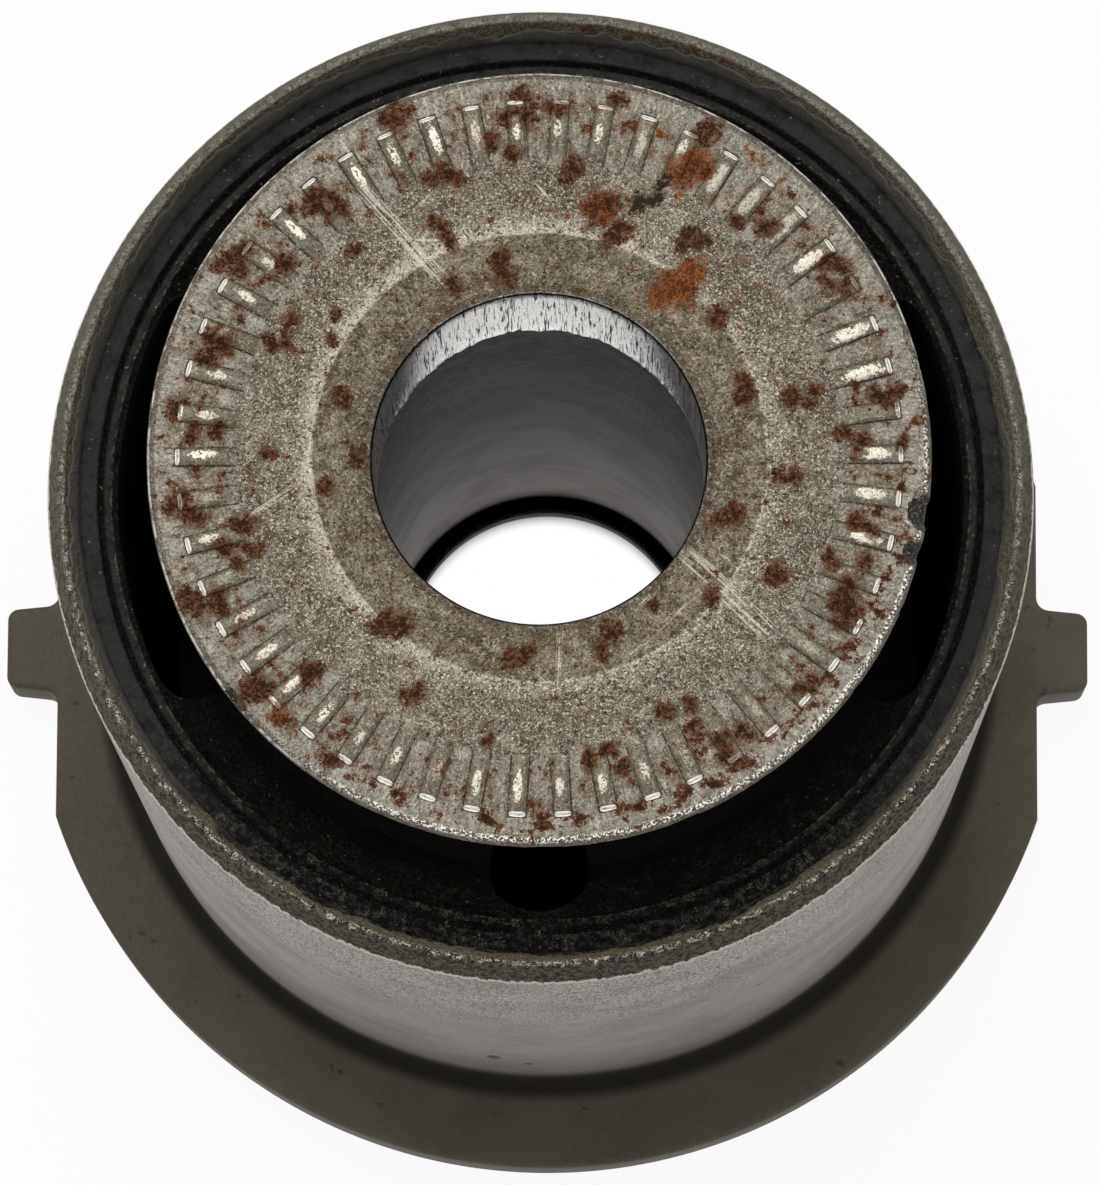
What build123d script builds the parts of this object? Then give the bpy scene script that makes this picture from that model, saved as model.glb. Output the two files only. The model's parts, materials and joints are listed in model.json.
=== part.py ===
from build123d import *
import math
import os

# Suspension bush: a headed steel sleeve bonded by rubber into a flanged steel can.
# Millimetres and degrees. The bush stands on its flange: the axis is Z, the flange's
# underside is Z = 0, and the flange's two locating tabs point along +X and -X.

# Outer can
can_diameter = 50.0            # ground wall, pressed into the carrier
can_wall = 1.6
can_wall_top = 58.4            # height at which the ground wall ends
rim_nose_height = 2.1          # tapered nose above the wall
rim_crown_width = 0.35         # narrow land on top of the nose
rim_outer_taper = 0.65         # how far the nose leans in from the outside
flange_diameter = 60.2
flange_thickness = 4.3
flange_fillet = 1.5            # between the wall and the flange's upper face
flange_edge_round = 0.35       # worn upper edge of the flange
across_flats = 56.9
tab_length = 2.95              # how far each tab stands out from its flat
tab_root_width = 5.1
tab_tip_width = 4.5
tab_corner_radius = 0.65
tab_root_fillet = 0.75
can_mouth_chamfer = 0.8        # inside the wall, at the flange's underside

# Inner sleeve
sleeve_top = 69.3              # height of the head's flat face
sleeve_end = 3.4               # height of the sleeve's lower end
head_diameter = 38.7
head_edge_height = 3.4         # from the flat face to the lower rim of the head
head_edge_round = 0.46
head_draft = 12.0              # degrees that the head's edge leans in below the round
head_underside_slope = 10.0    # degrees that the underside falls towards the shank
neck_fillet = 2.0              # between the head's underside and the shank
shank_diameter = 26.5
bore_diameter = 16.5           # pierced land, the clearance for an M16 bolt
bore_land_length = 9.4
cored_bore_diameter = 18.3     # wider bore below the land
cored_bore_corner = 0.5        # round where the cored bore meets the land's step
dish_diameter = 22.6           # shallow dish round the bore
dish_depth = 0.7
bore_mouth_chamfer = 0.3

# Teeth on the head's face
tooth_count = 50
tooth_phase = 0.45             # angle of the first tooth from +X
tooth_inner_radius = 14.8
tooth_length = 3.1
tooth_width = 0.88
tooth_height = 0.34
tooth_end_height = 0.24        # height left where the steep outer end starts
tooth_end_run = 0.18           # radial run of the steep outer end
tooth_crest_share = 0.58       # place of the highest point along the tooth

# Chips knocked out of the head's edge: angle, length along the edge, depth
head_chips = ((-8.3, 1.3, 0.42), (-14.4, 1.0, 0.34))

# Rubber body
rubber_seat_width = 0.95       # flat band beside the can's rim
lip_groove_width = 0.3
lip_groove_depth = 0.6
lip_width = 0.5                # raised sealing lip
lip_step_depth = 0.45          # step inside the lip, down to the sloping face
rubber_valley_depth = 4.2      # lowest part of the upper face, below the seat
rubber_neck_height = 3.0       # how far the rubber climbs the shank above the valley
rubber_neck_wall = 0.9         # its thickness at the top of that climb
neck_foot_inset = 0.5          # valley floor left between the climb's foot and the voids
lower_valley_depth = 4.0       # hollow in the lower face
can_foot_gap = 2.2             # rubber's end above the flange's underside, at the can
kidney_half_angle = 31.0       # half the sweep of each void at +X and -X
kidney_corner_radius = 1.6
sleeve_skin = 2.4              # rubber left on the shank inside the voids
can_skin = 1.95                # rubber left on the can outside the kidney voids
slot_width = 5.2               # round-ended slots at +Y and -Y
slot_skin = 2.2                # rubber left on the can outside the slots
end_lip_thickness = 1.75       # lip that turns in under the sleeve's end

# Worked out from the sizes above
can_radius = can_diameter / 2
can_inner_radius = can_radius - can_wall
rim_top = can_wall_top + rim_nose_height
across_tabs = across_flats + 2 * tab_length
shank_radius = shank_diameter / 2
head_radius = head_diameter / 2
bore_radius = bore_diameter / 2
cored_radius = cored_bore_diameter / 2
land_top = sleeve_top - dish_depth
land_end = land_top - bore_land_length
void_inner_radius = shank_radius + sleeve_skin

same_place = 1e-6              # how near an edge or corner must lie to count as the one meant


def near(value, target):
    return abs(value - target) < same_place


def ring_edges(solid, radius, height):
    """The circles of one radius that lie at one height on a solid."""
    circles = solid.edges().filter_by(GeomType.CIRCLE)
    return [e for e in circles if near(e.radius, radius) and near(e.center().Z, height)]


def revolved(profile_edges):
    """Turn a closed outline in the X-Z plane round the Z axis."""
    return revolve(make_face(profile_edges), axis=Axis.Z)


def flange_outline():
    """Round flange cut by two flats, with a tapered tab on each flat."""
    half_flats = across_flats / 2
    half_tabs = across_tabs / 2
    outline = Circle(flange_diameter / 2) & Rectangle(across_flats, flange_diameter)
    for side in (1, -1):
        tab = Polygon(
            (side * (half_flats - tab_root_width), tab_root_width / 2),
            (side * half_flats, tab_root_width / 2),
            (side * half_tabs, tab_tip_width / 2),
            (side * half_tabs, -tab_tip_width / 2),
            (side * half_flats, -tab_root_width / 2),
            (side * (half_flats - tab_root_width), -tab_root_width / 2),
            align=None,
        )
        outline += tab
    tips = [v for v in outline.vertices() if near(abs(v.X), half_tabs)]
    outline = fillet(tips, tab_corner_radius)
    on_flats = [v for v in outline.vertices() if near(abs(v.X), half_flats)]
    roots = [v for v in on_flats if near(abs(v.Y), tab_root_width / 2)]
    return fillet(roots, tab_root_fillet)


def make_outer_can():
    """Wall with a tapered nose at the top and the thick flange at the foot."""
    inner_taper_top = can_inner_radius + can_wall - rim_outer_taper - rim_crown_width
    wall_outline = Polyline(
        (can_inner_radius, 0, 0),
        (can_radius, 0, 0),
        (can_radius, 0, can_wall_top),
        (can_radius - rim_outer_taper, 0, rim_top),
        (inner_taper_top, 0, rim_top),
        (can_inner_radius, 0, can_wall_top),
        close=True,
    )
    wall = revolved(wall_outline)
    plate = extrude(flange_outline(), flange_thickness, dir=(0, 0, 1))
    plate = fillet(plate.faces().sort_by(Axis.Z)[-1].edges(), flange_edge_round)
    can = wall + plate
    can = fillet(ring_edges(can, can_radius, flange_thickness), flange_fillet)
    can -= extrude(Circle(can_inner_radius), rim_top, dir=(0, 0, 1))
    return chamfer(ring_edges(can, can_inner_radius, 0), can_mouth_chamfer)


def make_tooth():
    """One raised tooth at +X: flat flanks, crowned top and a steep outer end."""
    start = tooth_inner_radius
    stop = start + tooth_length
    crest = start + tooth_crest_share * tooth_length
    foot = sleeve_top - tooth_height
    crown = ThreePointArc(
        (start, 0, sleeve_top),
        (crest, 0, sleeve_top + tooth_height),
        (stop - tooth_end_run, 0, sleeve_top + tooth_end_height),
    )
    rest = Polyline(
        (stop - tooth_end_run, 0, sleeve_top + tooth_end_height),
        (stop, 0, sleeve_top),
        (stop, 0, foot),
        (start, 0, foot),
        (start, 0, sleeve_top),
    )
    side = make_face([crown, rest])
    return extrude(side, tooth_width / 2, dir=(0, 1, 0), both=True)


def make_inner_sleeve():
    """Headed sleeve with a dished face, a pierced land and a wider cored bore."""
    lean = math.radians(head_draft)
    corner_radius = head_radius + head_edge_round * (math.tan(lean) + 1 / math.cos(lean) - 1)
    lower_rim_radius = corner_radius - head_edge_height * math.tan(lean)
    lower_rim_height = sleeve_top - head_edge_height
    neck_run = lower_rim_radius - shank_radius
    neck_height = lower_rim_height - neck_run * math.tan(math.radians(head_underside_slope))
    outline = Polyline(
        (bore_radius, 0, land_end),
        (bore_radius, 0, land_top),
        (dish_diameter / 2, 0, sleeve_top),
        (corner_radius, 0, sleeve_top),
        (lower_rim_radius, 0, lower_rim_height),
        (shank_radius, 0, neck_height),
        (shank_radius, 0, sleeve_end),
        (cored_radius, 0, sleeve_end),
        (cored_radius, 0, land_end),
        close=True,
    )
    sleeve = revolved(outline)
    rounds = (
        (corner_radius, sleeve_top, head_edge_round),
        (lower_rim_radius, lower_rim_height, head_edge_round),
        (shank_radius, neck_height, neck_fillet),
        (cored_radius, land_end, cored_bore_corner),
    )
    for radius, height, size in rounds:
        sleeve = fillet(ring_edges(sleeve, radius, height), size)
    sleeve = chamfer(ring_edges(sleeve, bore_radius, land_top), bore_mouth_chamfer)

    tooth = make_tooth()
    pitch = 360 / tooth_count
    sleeve += [Rot(0, 0, tooth_phase + pitch * i) * tooth for i in range(tooth_count)]

    for angle, length, depth in head_chips:
        corner_height = sleeve_top - head_edge_round
        notch = Polyline(
            (head_radius - depth, 0, corner_height),
            (head_radius, 0, corner_height + depth),
            (head_radius + depth, 0, corner_height),
            (head_radius, 0, corner_height - depth),
            close=True,
        )
        chip = extrude(make_face(notch), length / 2, dir=(0, 1, 0), both=True)
        sleeve -= Rot(0, 0, angle) * chip
    return sleeve


def kidney_void():
    """Plan of the void at +X: a ring sector with rounded corners."""
    outer = can_inner_radius - can_skin
    half = math.radians(kidney_half_angle)
    wedge_end = outer              # past the ring at every angle that the wedge covers
    wedge_side = wedge_end * math.tan(half)
    wedge = Polygon((0, 0), (wedge_end, -wedge_side), (wedge_end, wedge_side), align=None)
    sector = (Circle(outer) - Circle(void_inner_radius)) & wedge
    return fillet(sector.vertices(), kidney_corner_radius)


def slot_void():
    """Plan of the slot at +Y: two round ends joined by straight flanks."""
    outer_centre = can_inner_radius - slot_skin - slot_width / 2
    inner_centre = void_inner_radius + slot_width / 2
    ends = [Pos(0, y) * Circle(slot_width / 2) for y in (outer_centre, inner_centre)]
    middle = (outer_centre + inner_centre) / 2
    flanks = Pos(0, middle) * Rectangle(slot_width, abs(outer_centre - inner_centre))
    return ends[0] + ends[1] + flanks


def make_rubber_body():
    """Bonded ring with grooved lip, hollow end faces, four voids and the end lip."""
    seat_inner = can_inner_radius - rubber_seat_width
    groove_inner = seat_inner - lip_groove_width
    lip_inner = groove_inner - lip_width
    slope_start = can_wall_top - lip_step_depth
    valley = can_wall_top - rubber_valley_depth
    neck_top = valley + rubber_neck_height
    neck_foot = void_inner_radius - neck_foot_inset
    valley_outer = (void_inner_radius + lip_inner) / 2
    low_face = sleeve_end - end_lip_thickness
    low_valley = low_face + lower_valley_depth
    outline = Polyline(
        (can_inner_radius, 0, can_wall_top),
        (seat_inner, 0, can_wall_top),
        (seat_inner, 0, can_wall_top - lip_groove_depth),
        (groove_inner, 0, can_wall_top - lip_groove_depth),
        (groove_inner, 0, can_wall_top),
        (lip_inner, 0, can_wall_top),
        (lip_inner, 0, slope_start),
        (valley_outer, 0, valley),
        (neck_foot, 0, valley),
        (shank_radius + rubber_neck_wall, 0, neck_top),
        (shank_radius, 0, neck_top),
        (shank_radius, 0, sleeve_end),
        (bore_radius, 0, sleeve_end),
        (bore_radius, 0, low_face),
        (neck_foot, 0, low_face),
        (neck_foot, 0, low_valley),
        (valley_outer, 0, low_valley),
        (can_inner_radius, 0, can_foot_gap),
        close=True,
    )
    rubber = revolved(outline)
    plans = [Rot(0, 0, turn) * plan for turn in (0, 180) for plan in (kidney_void(), slot_void())]
    return rubber - [extrude(plan, rim_top, dir=(0, 0, 1)) for plan in plans]


os.makedirs("parts", exist_ok=True)
export_step(make_inner_sleeve(), "parts/inner_sleeve.step")
export_step(make_rubber_body(), "parts/rubber_body.step")
export_step(make_outer_can(), "parts/outer_can.step")
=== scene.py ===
import json
import math
import bmesh
import bpy
import numpy as np
from mathutils import Matrix, Vector


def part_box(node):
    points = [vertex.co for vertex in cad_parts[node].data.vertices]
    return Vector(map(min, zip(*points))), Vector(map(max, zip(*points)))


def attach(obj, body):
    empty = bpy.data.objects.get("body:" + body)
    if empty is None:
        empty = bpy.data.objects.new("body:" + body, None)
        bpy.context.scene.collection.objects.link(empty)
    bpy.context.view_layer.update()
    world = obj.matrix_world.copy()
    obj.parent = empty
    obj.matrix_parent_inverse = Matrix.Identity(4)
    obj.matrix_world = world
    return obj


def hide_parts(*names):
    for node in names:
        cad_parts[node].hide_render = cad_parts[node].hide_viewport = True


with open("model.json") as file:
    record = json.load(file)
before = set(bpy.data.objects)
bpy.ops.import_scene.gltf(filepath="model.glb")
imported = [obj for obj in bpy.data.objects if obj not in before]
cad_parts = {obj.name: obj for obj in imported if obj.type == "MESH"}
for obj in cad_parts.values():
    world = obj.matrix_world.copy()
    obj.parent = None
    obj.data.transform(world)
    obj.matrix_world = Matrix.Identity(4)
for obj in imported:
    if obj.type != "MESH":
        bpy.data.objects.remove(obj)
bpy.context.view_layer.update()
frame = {"record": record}
mm = 0.001                          # lengths below are in millimetres, and a mesh takes metres
mounts = {mount["name"]: mount for mount in frame["record"]["mounts"]}
boreRadius = mounts["bolt_bore"]["dims"]["r_mm"]
canRadius = mounts["can_wall"]["dims"]["r_mm"]


def nodeSize(node):
    # Outer radius along Y, lowest and highest point of a node, in millimetres.
    low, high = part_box(node)
    return high.y / mm, low.z / mm, high.z / mm


headRadius, sleeveEnd, toothTop = nodeSize("inner_sleeve")
rubberRadius, rubberFoot, rubberTop = nodeSize("rubber_body")
flangeRadius, canFoot, rimTop = nodeSize("outer_can")
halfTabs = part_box("outer_can")[1].x / mm
print("frame loaded")


def unitRows(vectors):
    return vectors / np.linalg.norm(vectors, axis=-1, keepdims=True)


# Outline through corners (r, z, round, steps): each corner is an arc tangent to the runs on both
# sides of it, and the run that follows it is cut into equal steps.
def roundedPath(corners, closed=True, arcSteps=5):
    places = np.array([corner[:2] for corner in corners], float)
    toBefore = unitRows(np.roll(places, 1, axis=0) - places)
    toAfter = unitRows(np.roll(places, -1, axis=0) - places)
    halfOpening = np.arccos(np.clip((toBefore * toAfter).sum(1), -1, 1)) / 2
    rounds = np.array([corner[2] for corner in corners], float)
    reach = (rounds / np.tan(halfOpening))[:, None]
    starts, ends = places + toBefore * reach, places + toAfter * reach
    path = []
    for i, (place, radius, steps) in enumerate(zip(places, rounds, [c[3] for c in corners])):
        if radius > 0:
            centre = place + unitRows(toBefore[i] + toAfter[i]) * radius / math.sin(halfOpening[i])
            first = math.atan2(*(starts[i] - centre)[::-1])
            turn = math.atan2(*(ends[i] - centre)[::-1]) - first
            turn = (turn + math.pi) % (2 * math.pi) - math.pi
            angles = first + turn * np.linspace(0, 1, arcSteps + 1)
            path.append(centre + radius * np.stack((np.cos(angles), np.sin(angles)), 1))
        else:
            path.append(place[None])
        if closed or i < len(corners) - 1:
            shares = np.linspace(0, 1, steps + 1)[1:-1, None]
            path.append(ends[i] + shares * (starts[(i + 1) % len(corners)] - ends[i]))
    return np.concatenate(path)


# Quads of a grid of columns by stations that closes on itself both ways, like a ring.
def ringQuads(columns, stations):
    u, v = np.meshgrid(np.arange(columns), np.arange(stations), indexing="ij")
    nextU, nextV = (u + 1) % columns, (v + 1) % stations
    quads = (u * stations + v, nextU * stations + v, nextU * stations + nextV, u * stations + nextV)
    return np.stack(quads, -1)


# Seeded waviness round the axis: the mean of cosines whose whole cycle counts lie in a range.
def ripple(angle, lowest, highest, seed, waves=14):
    draw = np.random.default_rng(seed)
    cycles = draw.integers(lowest, highest + 1, waves)
    phases = draw.uniform(0, 2 * math.pi, waves)
    return np.cos(np.multiply.outer(angle, cycles) + phases).sum(-1) / math.sqrt(waves)


# Seeded small dents round the axis: a sum of bells, each at its own angle with its own depth.
def dents(angle, count, narrow, wide, seed):
    draw = np.random.default_rng(seed)
    places = draw.uniform(-math.pi, math.pi, count)
    widths = draw.uniform(narrow, wide, count)
    depths = draw.uniform(0.3, 1, count)
    apart = np.angle(np.exp(1j * np.subtract.outer(angle, places)))
    return (depths * np.exp(-(apart / widths) ** 2)).sum(-1)


# Height between two levels of a value: 0 before the start, 1 past the end, smooth between.
def easeStep(value, start, end):
    share = np.clip((value - start) / (end - start), 0, 1)
    return share * share * (3 - 2 * share)


def makePiece(name, points, quads, node, attributes=None):
    mesh = bpy.data.meshes.new(name)
    points, quads = points.reshape(-1, 3), quads.reshape(-1, 4)
    corners = points[quads[:, :3]]
    volume = np.einsum("ij,ij->i", corners[:, 0], np.cross(corners[:, 1], corners[:, 2])).sum()
    if volume < 0:                     # the faces are turned so that they point outwards
        quads = quads[:, ::-1]
    mesh.from_pydata((points * mm).tolist(), [], quads.tolist())
    for label, values in (attributes or {}).items():
        layer = mesh.attributes.new(label, "FLOAT", "POINT")
        layer.data.foreach_set("value", values.astype(np.float32).ravel())
    mesh.update()
    mesh.shade_smooth()
    piece = bpy.data.objects.new(name, mesh)
    bpy.context.scene.collection.objects.link(piece)
    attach(piece, "root")
    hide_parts(node)
    return piece


sleeve = {
    "headEdgeHeight": 3.4,
    "headEdgeRound": 0.46,
    "headDraft": math.radians(12),
    "undersideSlope": math.radians(10),
    "neckRound": 2.0,
    "shankRadius": 13.25,
    "landLength": 9.4,
    "coredRadius": 9.15,
    "coredRound": 0.5,
    "dishRadius": 11.3,
    "dishDepth": 0.7,
    "mouthRound": 0.3,
    "toothCount": 50,
    "toothPhase": math.radians(0.45),
    "toothInner": 14.8,
    "toothOuter": 17.9,
    "toothHalfWidth": 0.44,
    "toothHeight": 0.34,
    "toothEndHeight": 0.24,
    "toothEndRun": 0.18,
    "toothCrestShare": 0.58,
    "creaseDepth": 0.035,
    # Teeth whose crest is worn less bright than the rest: number from +X, share taken off.
    "dullTeeth": ((1, 0.9), (4, 0.3), (6, 0.5), (7, 0.5), (8, 0.4), (10, 0.5), (14, 0.3), (22, 0.5),
                  (26, 0.6), (28, 0.7), (35, 0.5)),
    "landRaggedness": 0.28,
    "edgeHammering": 0.025,
    # Chips in the head's edge: angle, half length along the edge, depth.
    "chips": ((-8.3, 0.85, 0.5), (-14.4, 0.6, 0.38), (-140.8, 0.75, 0.14)),
}
sleeve["faceHeight"] = toothTop - sleeve["toothHeight"]
sleeve["landTop"] = sleeve["faceHeight"] - sleeve["dishDepth"]
sleeve["landBottom"] = sleeve["landTop"] - sleeve["landLength"]

# Rust on the head's face, in groups: angle in degrees and distance of the group from the axis,
# how far it spreads, number of blotches, their radius, and warmth from 0, black-brown, to 1, orange.
rustGroups = (
    # Upper right, where it is warmest, and the black crumbs between the orange.
    (51, 10.7, 0.5, 2, 0.9, 1.0), (38, 11.0, 0.3, 1, 0.6, 0.6), (77, 12.9, 0.3, 2, 0.75, 0.7),
    (70, 11.8, 0.4, 2, 0.6, 0.6), (63, 16.2, 0.4, 2, 0.8, 0.9), (67, 14.0, 1.1, 5, 0.35, 0.0),
    (57, 13.4, 0.9, 3, 0.38, 0.1), (84, 14.4, 0.0, 1, 0.55, 0.4), (63, 18.6, 0.9, 3, 0.45, 0.4),
    (88, 16.9, 0.8, 2, 0.4, 0.4), (78, 18.3, 0.0, 1, 0.4, 0.4), (47, 15.4, 1.0, 3, 0.38, 0.25),
    (31, 17.3, 1.0, 4, 0.45, 0.2),
    # Right.
    (21, 10.6, 0.9, 3, 0.5, 0.3), (12, 13.2, 0.8, 2, 0.5, 0.4), (11, 17.2, 0.7, 3, 0.4, 0.3),
    (3, 15.2, 0.9, 3, 0.42, 0.4), (2, 17.9, 0.4, 1, 0.45, 0.4), (-5, 12.3, 0.0, 1, 0.6, 0.4),
    (-18, 9.6, 0.7, 3, 0.5, 0.3), (-10, 16.4, 1.1, 3, 0.38, 0.5), (-29, 12.9, 0.6, 2, 0.48, 0.4),
    (-18, 16.0, 1.3, 4, 0.42, 0.4), (-27, 16.6, 1.4, 6, 0.48, 0.45),
    # Lower right and bottom.
    (-39, 11.0, 0.0, 1, 0.5, 0.2), (-42, 18.0, 0.8, 2, 0.4, 0.2), (-56, 17.4, 1.1, 4, 0.42, 0.4),
    (-63, 15.2, 1.6, 3, 0.4, 0.25), (-78, 15.9, 1.1, 4, 0.38, 0.25), (-69, 9.7, 0.8, 3, 0.42, 0.3),
    (-53, 9.2, 0.3, 1, 0.35, 0.2), (-96, 10.1, 0.8, 3, 0.42, 0.2), (-98, 14.2, 0.6, 1, 0.35, 0.2),
    (-117, 13.6, 0.0, 1, 0.6, 0.5),
    # Lower left.
    (-131, 11.6, 0.9, 5, 0.5, 0.2), (-123, 18.3, 0.3, 1, 0.5, 0.2), (-134, 15.6, 0.8, 2, 0.4, 0.25),
    (-141, 18.2, 0.6, 2, 0.6, 0.2), (-134, 18.2, 0.4, 1, 0.55, 0.7),
    # Left.
    (-157, 18.0, 0.9, 3, 0.6, 0.3), (-161, 15.6, 0.9, 3, 0.45, 0.35), (-170, 17.8, 0.9, 3, 0.5, 0.45),
    (-169, 14.8, 0.7, 2, 0.4, 0.4), (-171, 10.5, 0.0, 1, 0.45, 0.5), (180, 13.3, 0.0, 1, 0.4, 0.5),
    (180, 9.0, 0.0, 1, 0.4, 0.1), (175, 17.0, 1.4, 4, 0.42, 0.3), (163, 9.9, 0.6, 2, 0.4, 0.3),
    (162, 17.0, 0.9, 4, 0.48, 0.3),
    # Upper left and top.
    (153, 14.4, 0.9, 3, 0.42, 0.3), (148, 12.0, 0.8, 2, 0.32, 0.2), (147, 17.9, 1.1, 4, 0.48, 0.4),
    (144, 15.6, 0.6, 2, 0.4, 0.35), (130, 16.2, 1.0, 4, 0.5, 0.4), (131, 14.3, 0.6, 2, 0.4, 0.35),
    (114, 12.3, 0.5, 2, 0.45, 0.4), (112, 18.8, 0.4, 1, 0.6, 0.3), (109, 14.8, 0.8, 3, 0.45, 0.45),
    (98, 15.3, 0.8, 2, 0.48, 0.4), (94, 17.6, 1.0, 3, 0.45, 0.3), (116, 9.7, 0.2, 1, 0.5, 0.3),
    (100, 9.6, 0.8, 3, 0.48, 0.3),
)


def sleeveOutline(s):
    lean = math.tan(s["headDraft"])
    corner = headRadius + s["headEdgeRound"] * (lean + 1 / math.cos(s["headDraft"]) - 1)
    lowerRadius = corner - s["headEdgeHeight"] * lean
    lowerHeight = s["faceHeight"] - s["headEdgeHeight"]
    neck = lowerHeight - (lowerRadius - s["shankRadius"]) * math.tan(s["undersideSlope"])
    face = s["faceHeight"]
    return roundedPath((
        (boreRadius, s["landBottom"], 0.06, 8),
        (boreRadius, s["landTop"], s["mouthRound"], 8),
        (s["dishRadius"], face, 0.35, 12),
        (s["toothInner"] - 0.06, face, 0, 1),
        (s["toothInner"] + 0.04, face, 0, 20),
        (s["toothOuter"] - s["toothEndRun"], face, 0, 3),
        (s["toothOuter"], face, 0, 1),
        (s["toothOuter"] + 0.06, face, 0, 6),
        (corner, face, s["headEdgeRound"], 5),
        (lowerRadius, lowerHeight, s["headEdgeRound"], 5),
        (s["shankRadius"], neck, s["neckRound"], 8),
        (s["shankRadius"], sleeveEnd, 0.15, 2),
        (s["coredRadius"], sleeveEnd, 0.15, 10),
        (s["coredRadius"], s["landBottom"], s["coredRound"], 2),
    ))


# Turned surface (r cos a, r sin a, z): column u keeps its angle a except near the teeth, where it
# follows the straight flanks, at the arcsine of the half width over r. The teeth's height is added
# to z on the face: a long crown along the tooth times a slight crown across it.
def buildSleeve(s):
    r, z = sleeveOutline(s).T
    pitch = 2 * math.pi / s["toothCount"]
    flank = np.arcsin(s["toothHalfWidth"] / np.clip(r, s["toothInner"], s["toothOuter"]))
    inside = np.array((-1, -0.88, -0.5, 0, 0.5, 0.88, 1))
    between = np.array((0.07, 0.28, 0.5, 0.72, 0.93))
    offsets = np.concatenate((np.outer(inside, flank), flank + np.outer(between, pitch - 2 * flank)))
    centres = s["toothPhase"] + pitch * np.arange(s["toothCount"])
    angle = (centres[:, None, None] + offsets).reshape(-1, len(r))
    columns = len(angle)

    # Lift of the teeth, and the crease sunk along their flanks and outer end.
    draw = np.random.default_rng(11)
    crest = s["toothInner"] + s["toothCrestShare"] * (s["toothOuter"] - s["toothInner"])
    endStart = s["toothOuter"] - s["toothEndRun"]
    rising = s["toothHeight"] * (1 - ((crest - r) / (crest - s["toothInner"])) ** 2)
    fall = s["toothHeight"] - s["toothEndHeight"]
    falling = s["toothHeight"] - fall * ((r - crest) / (endStart - crest)) ** 2
    ending = s["toothEndHeight"] * (s["toothOuter"] - r) / s["toothEndRun"]
    along = np.where(r < crest, rising, np.where(r < endStart, falling, ending))
    onFace = (z > s["faceHeight"] - 0.01) & (r > s["toothInner"] - 0.1) & (r < s["toothOuter"] + 0.1)
    along = np.where(onFace & (r > s["toothInner"]), np.maximum(along, 0), 0)
    flanks = [0, len(inside) - 1]
    across = np.concatenate((1 - 0.1 * inside ** 2, 0 * between))
    across[flanks] = 0
    crease = np.zeros(len(across))
    crease[flanks] = 1
    strength = draw.uniform(0.82, 1.0, s["toothCount"])
    lift = strength[:, None, None] * np.outer(across, along)
    creased = np.maximum(crease[:, None], np.isclose(r, s["toothOuter"]))
    sink = np.where(onFace, s["creaseDepth"], 0) * creased
    sink[len(inside):] = 0
    lift = (lift - sink).reshape(columns, -1)

    # Ragged lower edge of the land, and the head's edge hammered in.
    r = np.broadcast_to(r, angle.shape).copy()
    z = z + lift
    plainAngle = centres.repeat(len(offsets)) + np.tile(offsets[:, 0], s["toothCount"])
    ragged = s["landRaggedness"] * (ripple(plainAngle, 3, 30, 3) + 0.5 * ripple(plainAngle, 40, 120, 4))
    z += ragged[:, None] * ((r < s["coredRadius"] - 0.2) & (np.abs(z - s["landBottom"]) < 0.3))
    hammered = easeStep(r, headRadius - 0.5, headRadius - 0.2) * (z > s["faceHeight"] - 1)
    facing = 0.35 + 0.65 * easeStep(np.cos(plainAngle + math.radians(50)), 0.1, 0.8)
    knocks = ripple(plainAngle, 150, 280, 5, 30) * facing - 0.6 * dents(plainAngle, 60, 0.006, 0.02, 6)
    r -= s["edgeHammering"] * hammered * np.abs(knocks)[:, None]
    z -= 0.6 * s["edgeHammering"] * hammered * np.abs(knocks)[:, None]

    # Chips, rust, and how bright each tooth's crest is.
    points = np.stack((r * np.cos(angle), r * np.sin(angle), z), -1)
    chipped = np.zeros(r.shape)
    for degrees, halfLength, depth in s["chips"]:
        points, moved = scoop(points, math.radians(degrees), halfLength, depth, s)
        chipped = np.maximum(chipped, easeStep(moved, 0, 0.06))
    rust, warmth = rustField(points)
    shine = np.ones(s["toothCount"])
    for tooth, share in s["dullTeeth"]:
        shine[tooth] -= share
    crestShine = shine.repeat(len(offsets))[:, None] + np.zeros(r.shape)
    quads = ringQuads(columns, r.shape[1])
    attributes = {"rust": rust, "rustWarmth": warmth, "chip": chipped, "crestShine": crestShine}
    return makePiece("headed_sleeve", points, quads, "inner_sleeve", attributes)


# Chip in the head's edge: points beyond a shallow trough, whose depth falls off with the cube of
# the way along the edge, are moved back along the trough's normal onto it.
def scoop(points, angle, halfLength, depth, s):
    outward = np.array((math.cos(angle), math.sin(angle), 0))
    sideways = np.array((-math.sin(angle), math.cos(angle), 0))
    rise = 1.1                          # of the trough's normal, for a run of 1
    normal = (outward + np.array((0, 0, rise))) / math.hypot(1, rise)
    edgeCentre = outward * (headRadius - s["headEdgeRound"])
    edgeCentre[2] = s["faceHeight"] - s["headEdgeRound"]
    corner = edgeCentre + normal * s["headEdgeRound"]
    along = (points - corner) @ sideways
    trough = depth * (1 - np.abs(along / halfLength) ** 3)
    near = (np.abs(along) < halfLength) & ((points - corner) @ outward > -2)
    excess = np.where(near, np.maximum((points - corner) @ normal + trough, 0), 0)
    return points - excess[..., None] * normal, excess


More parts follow.
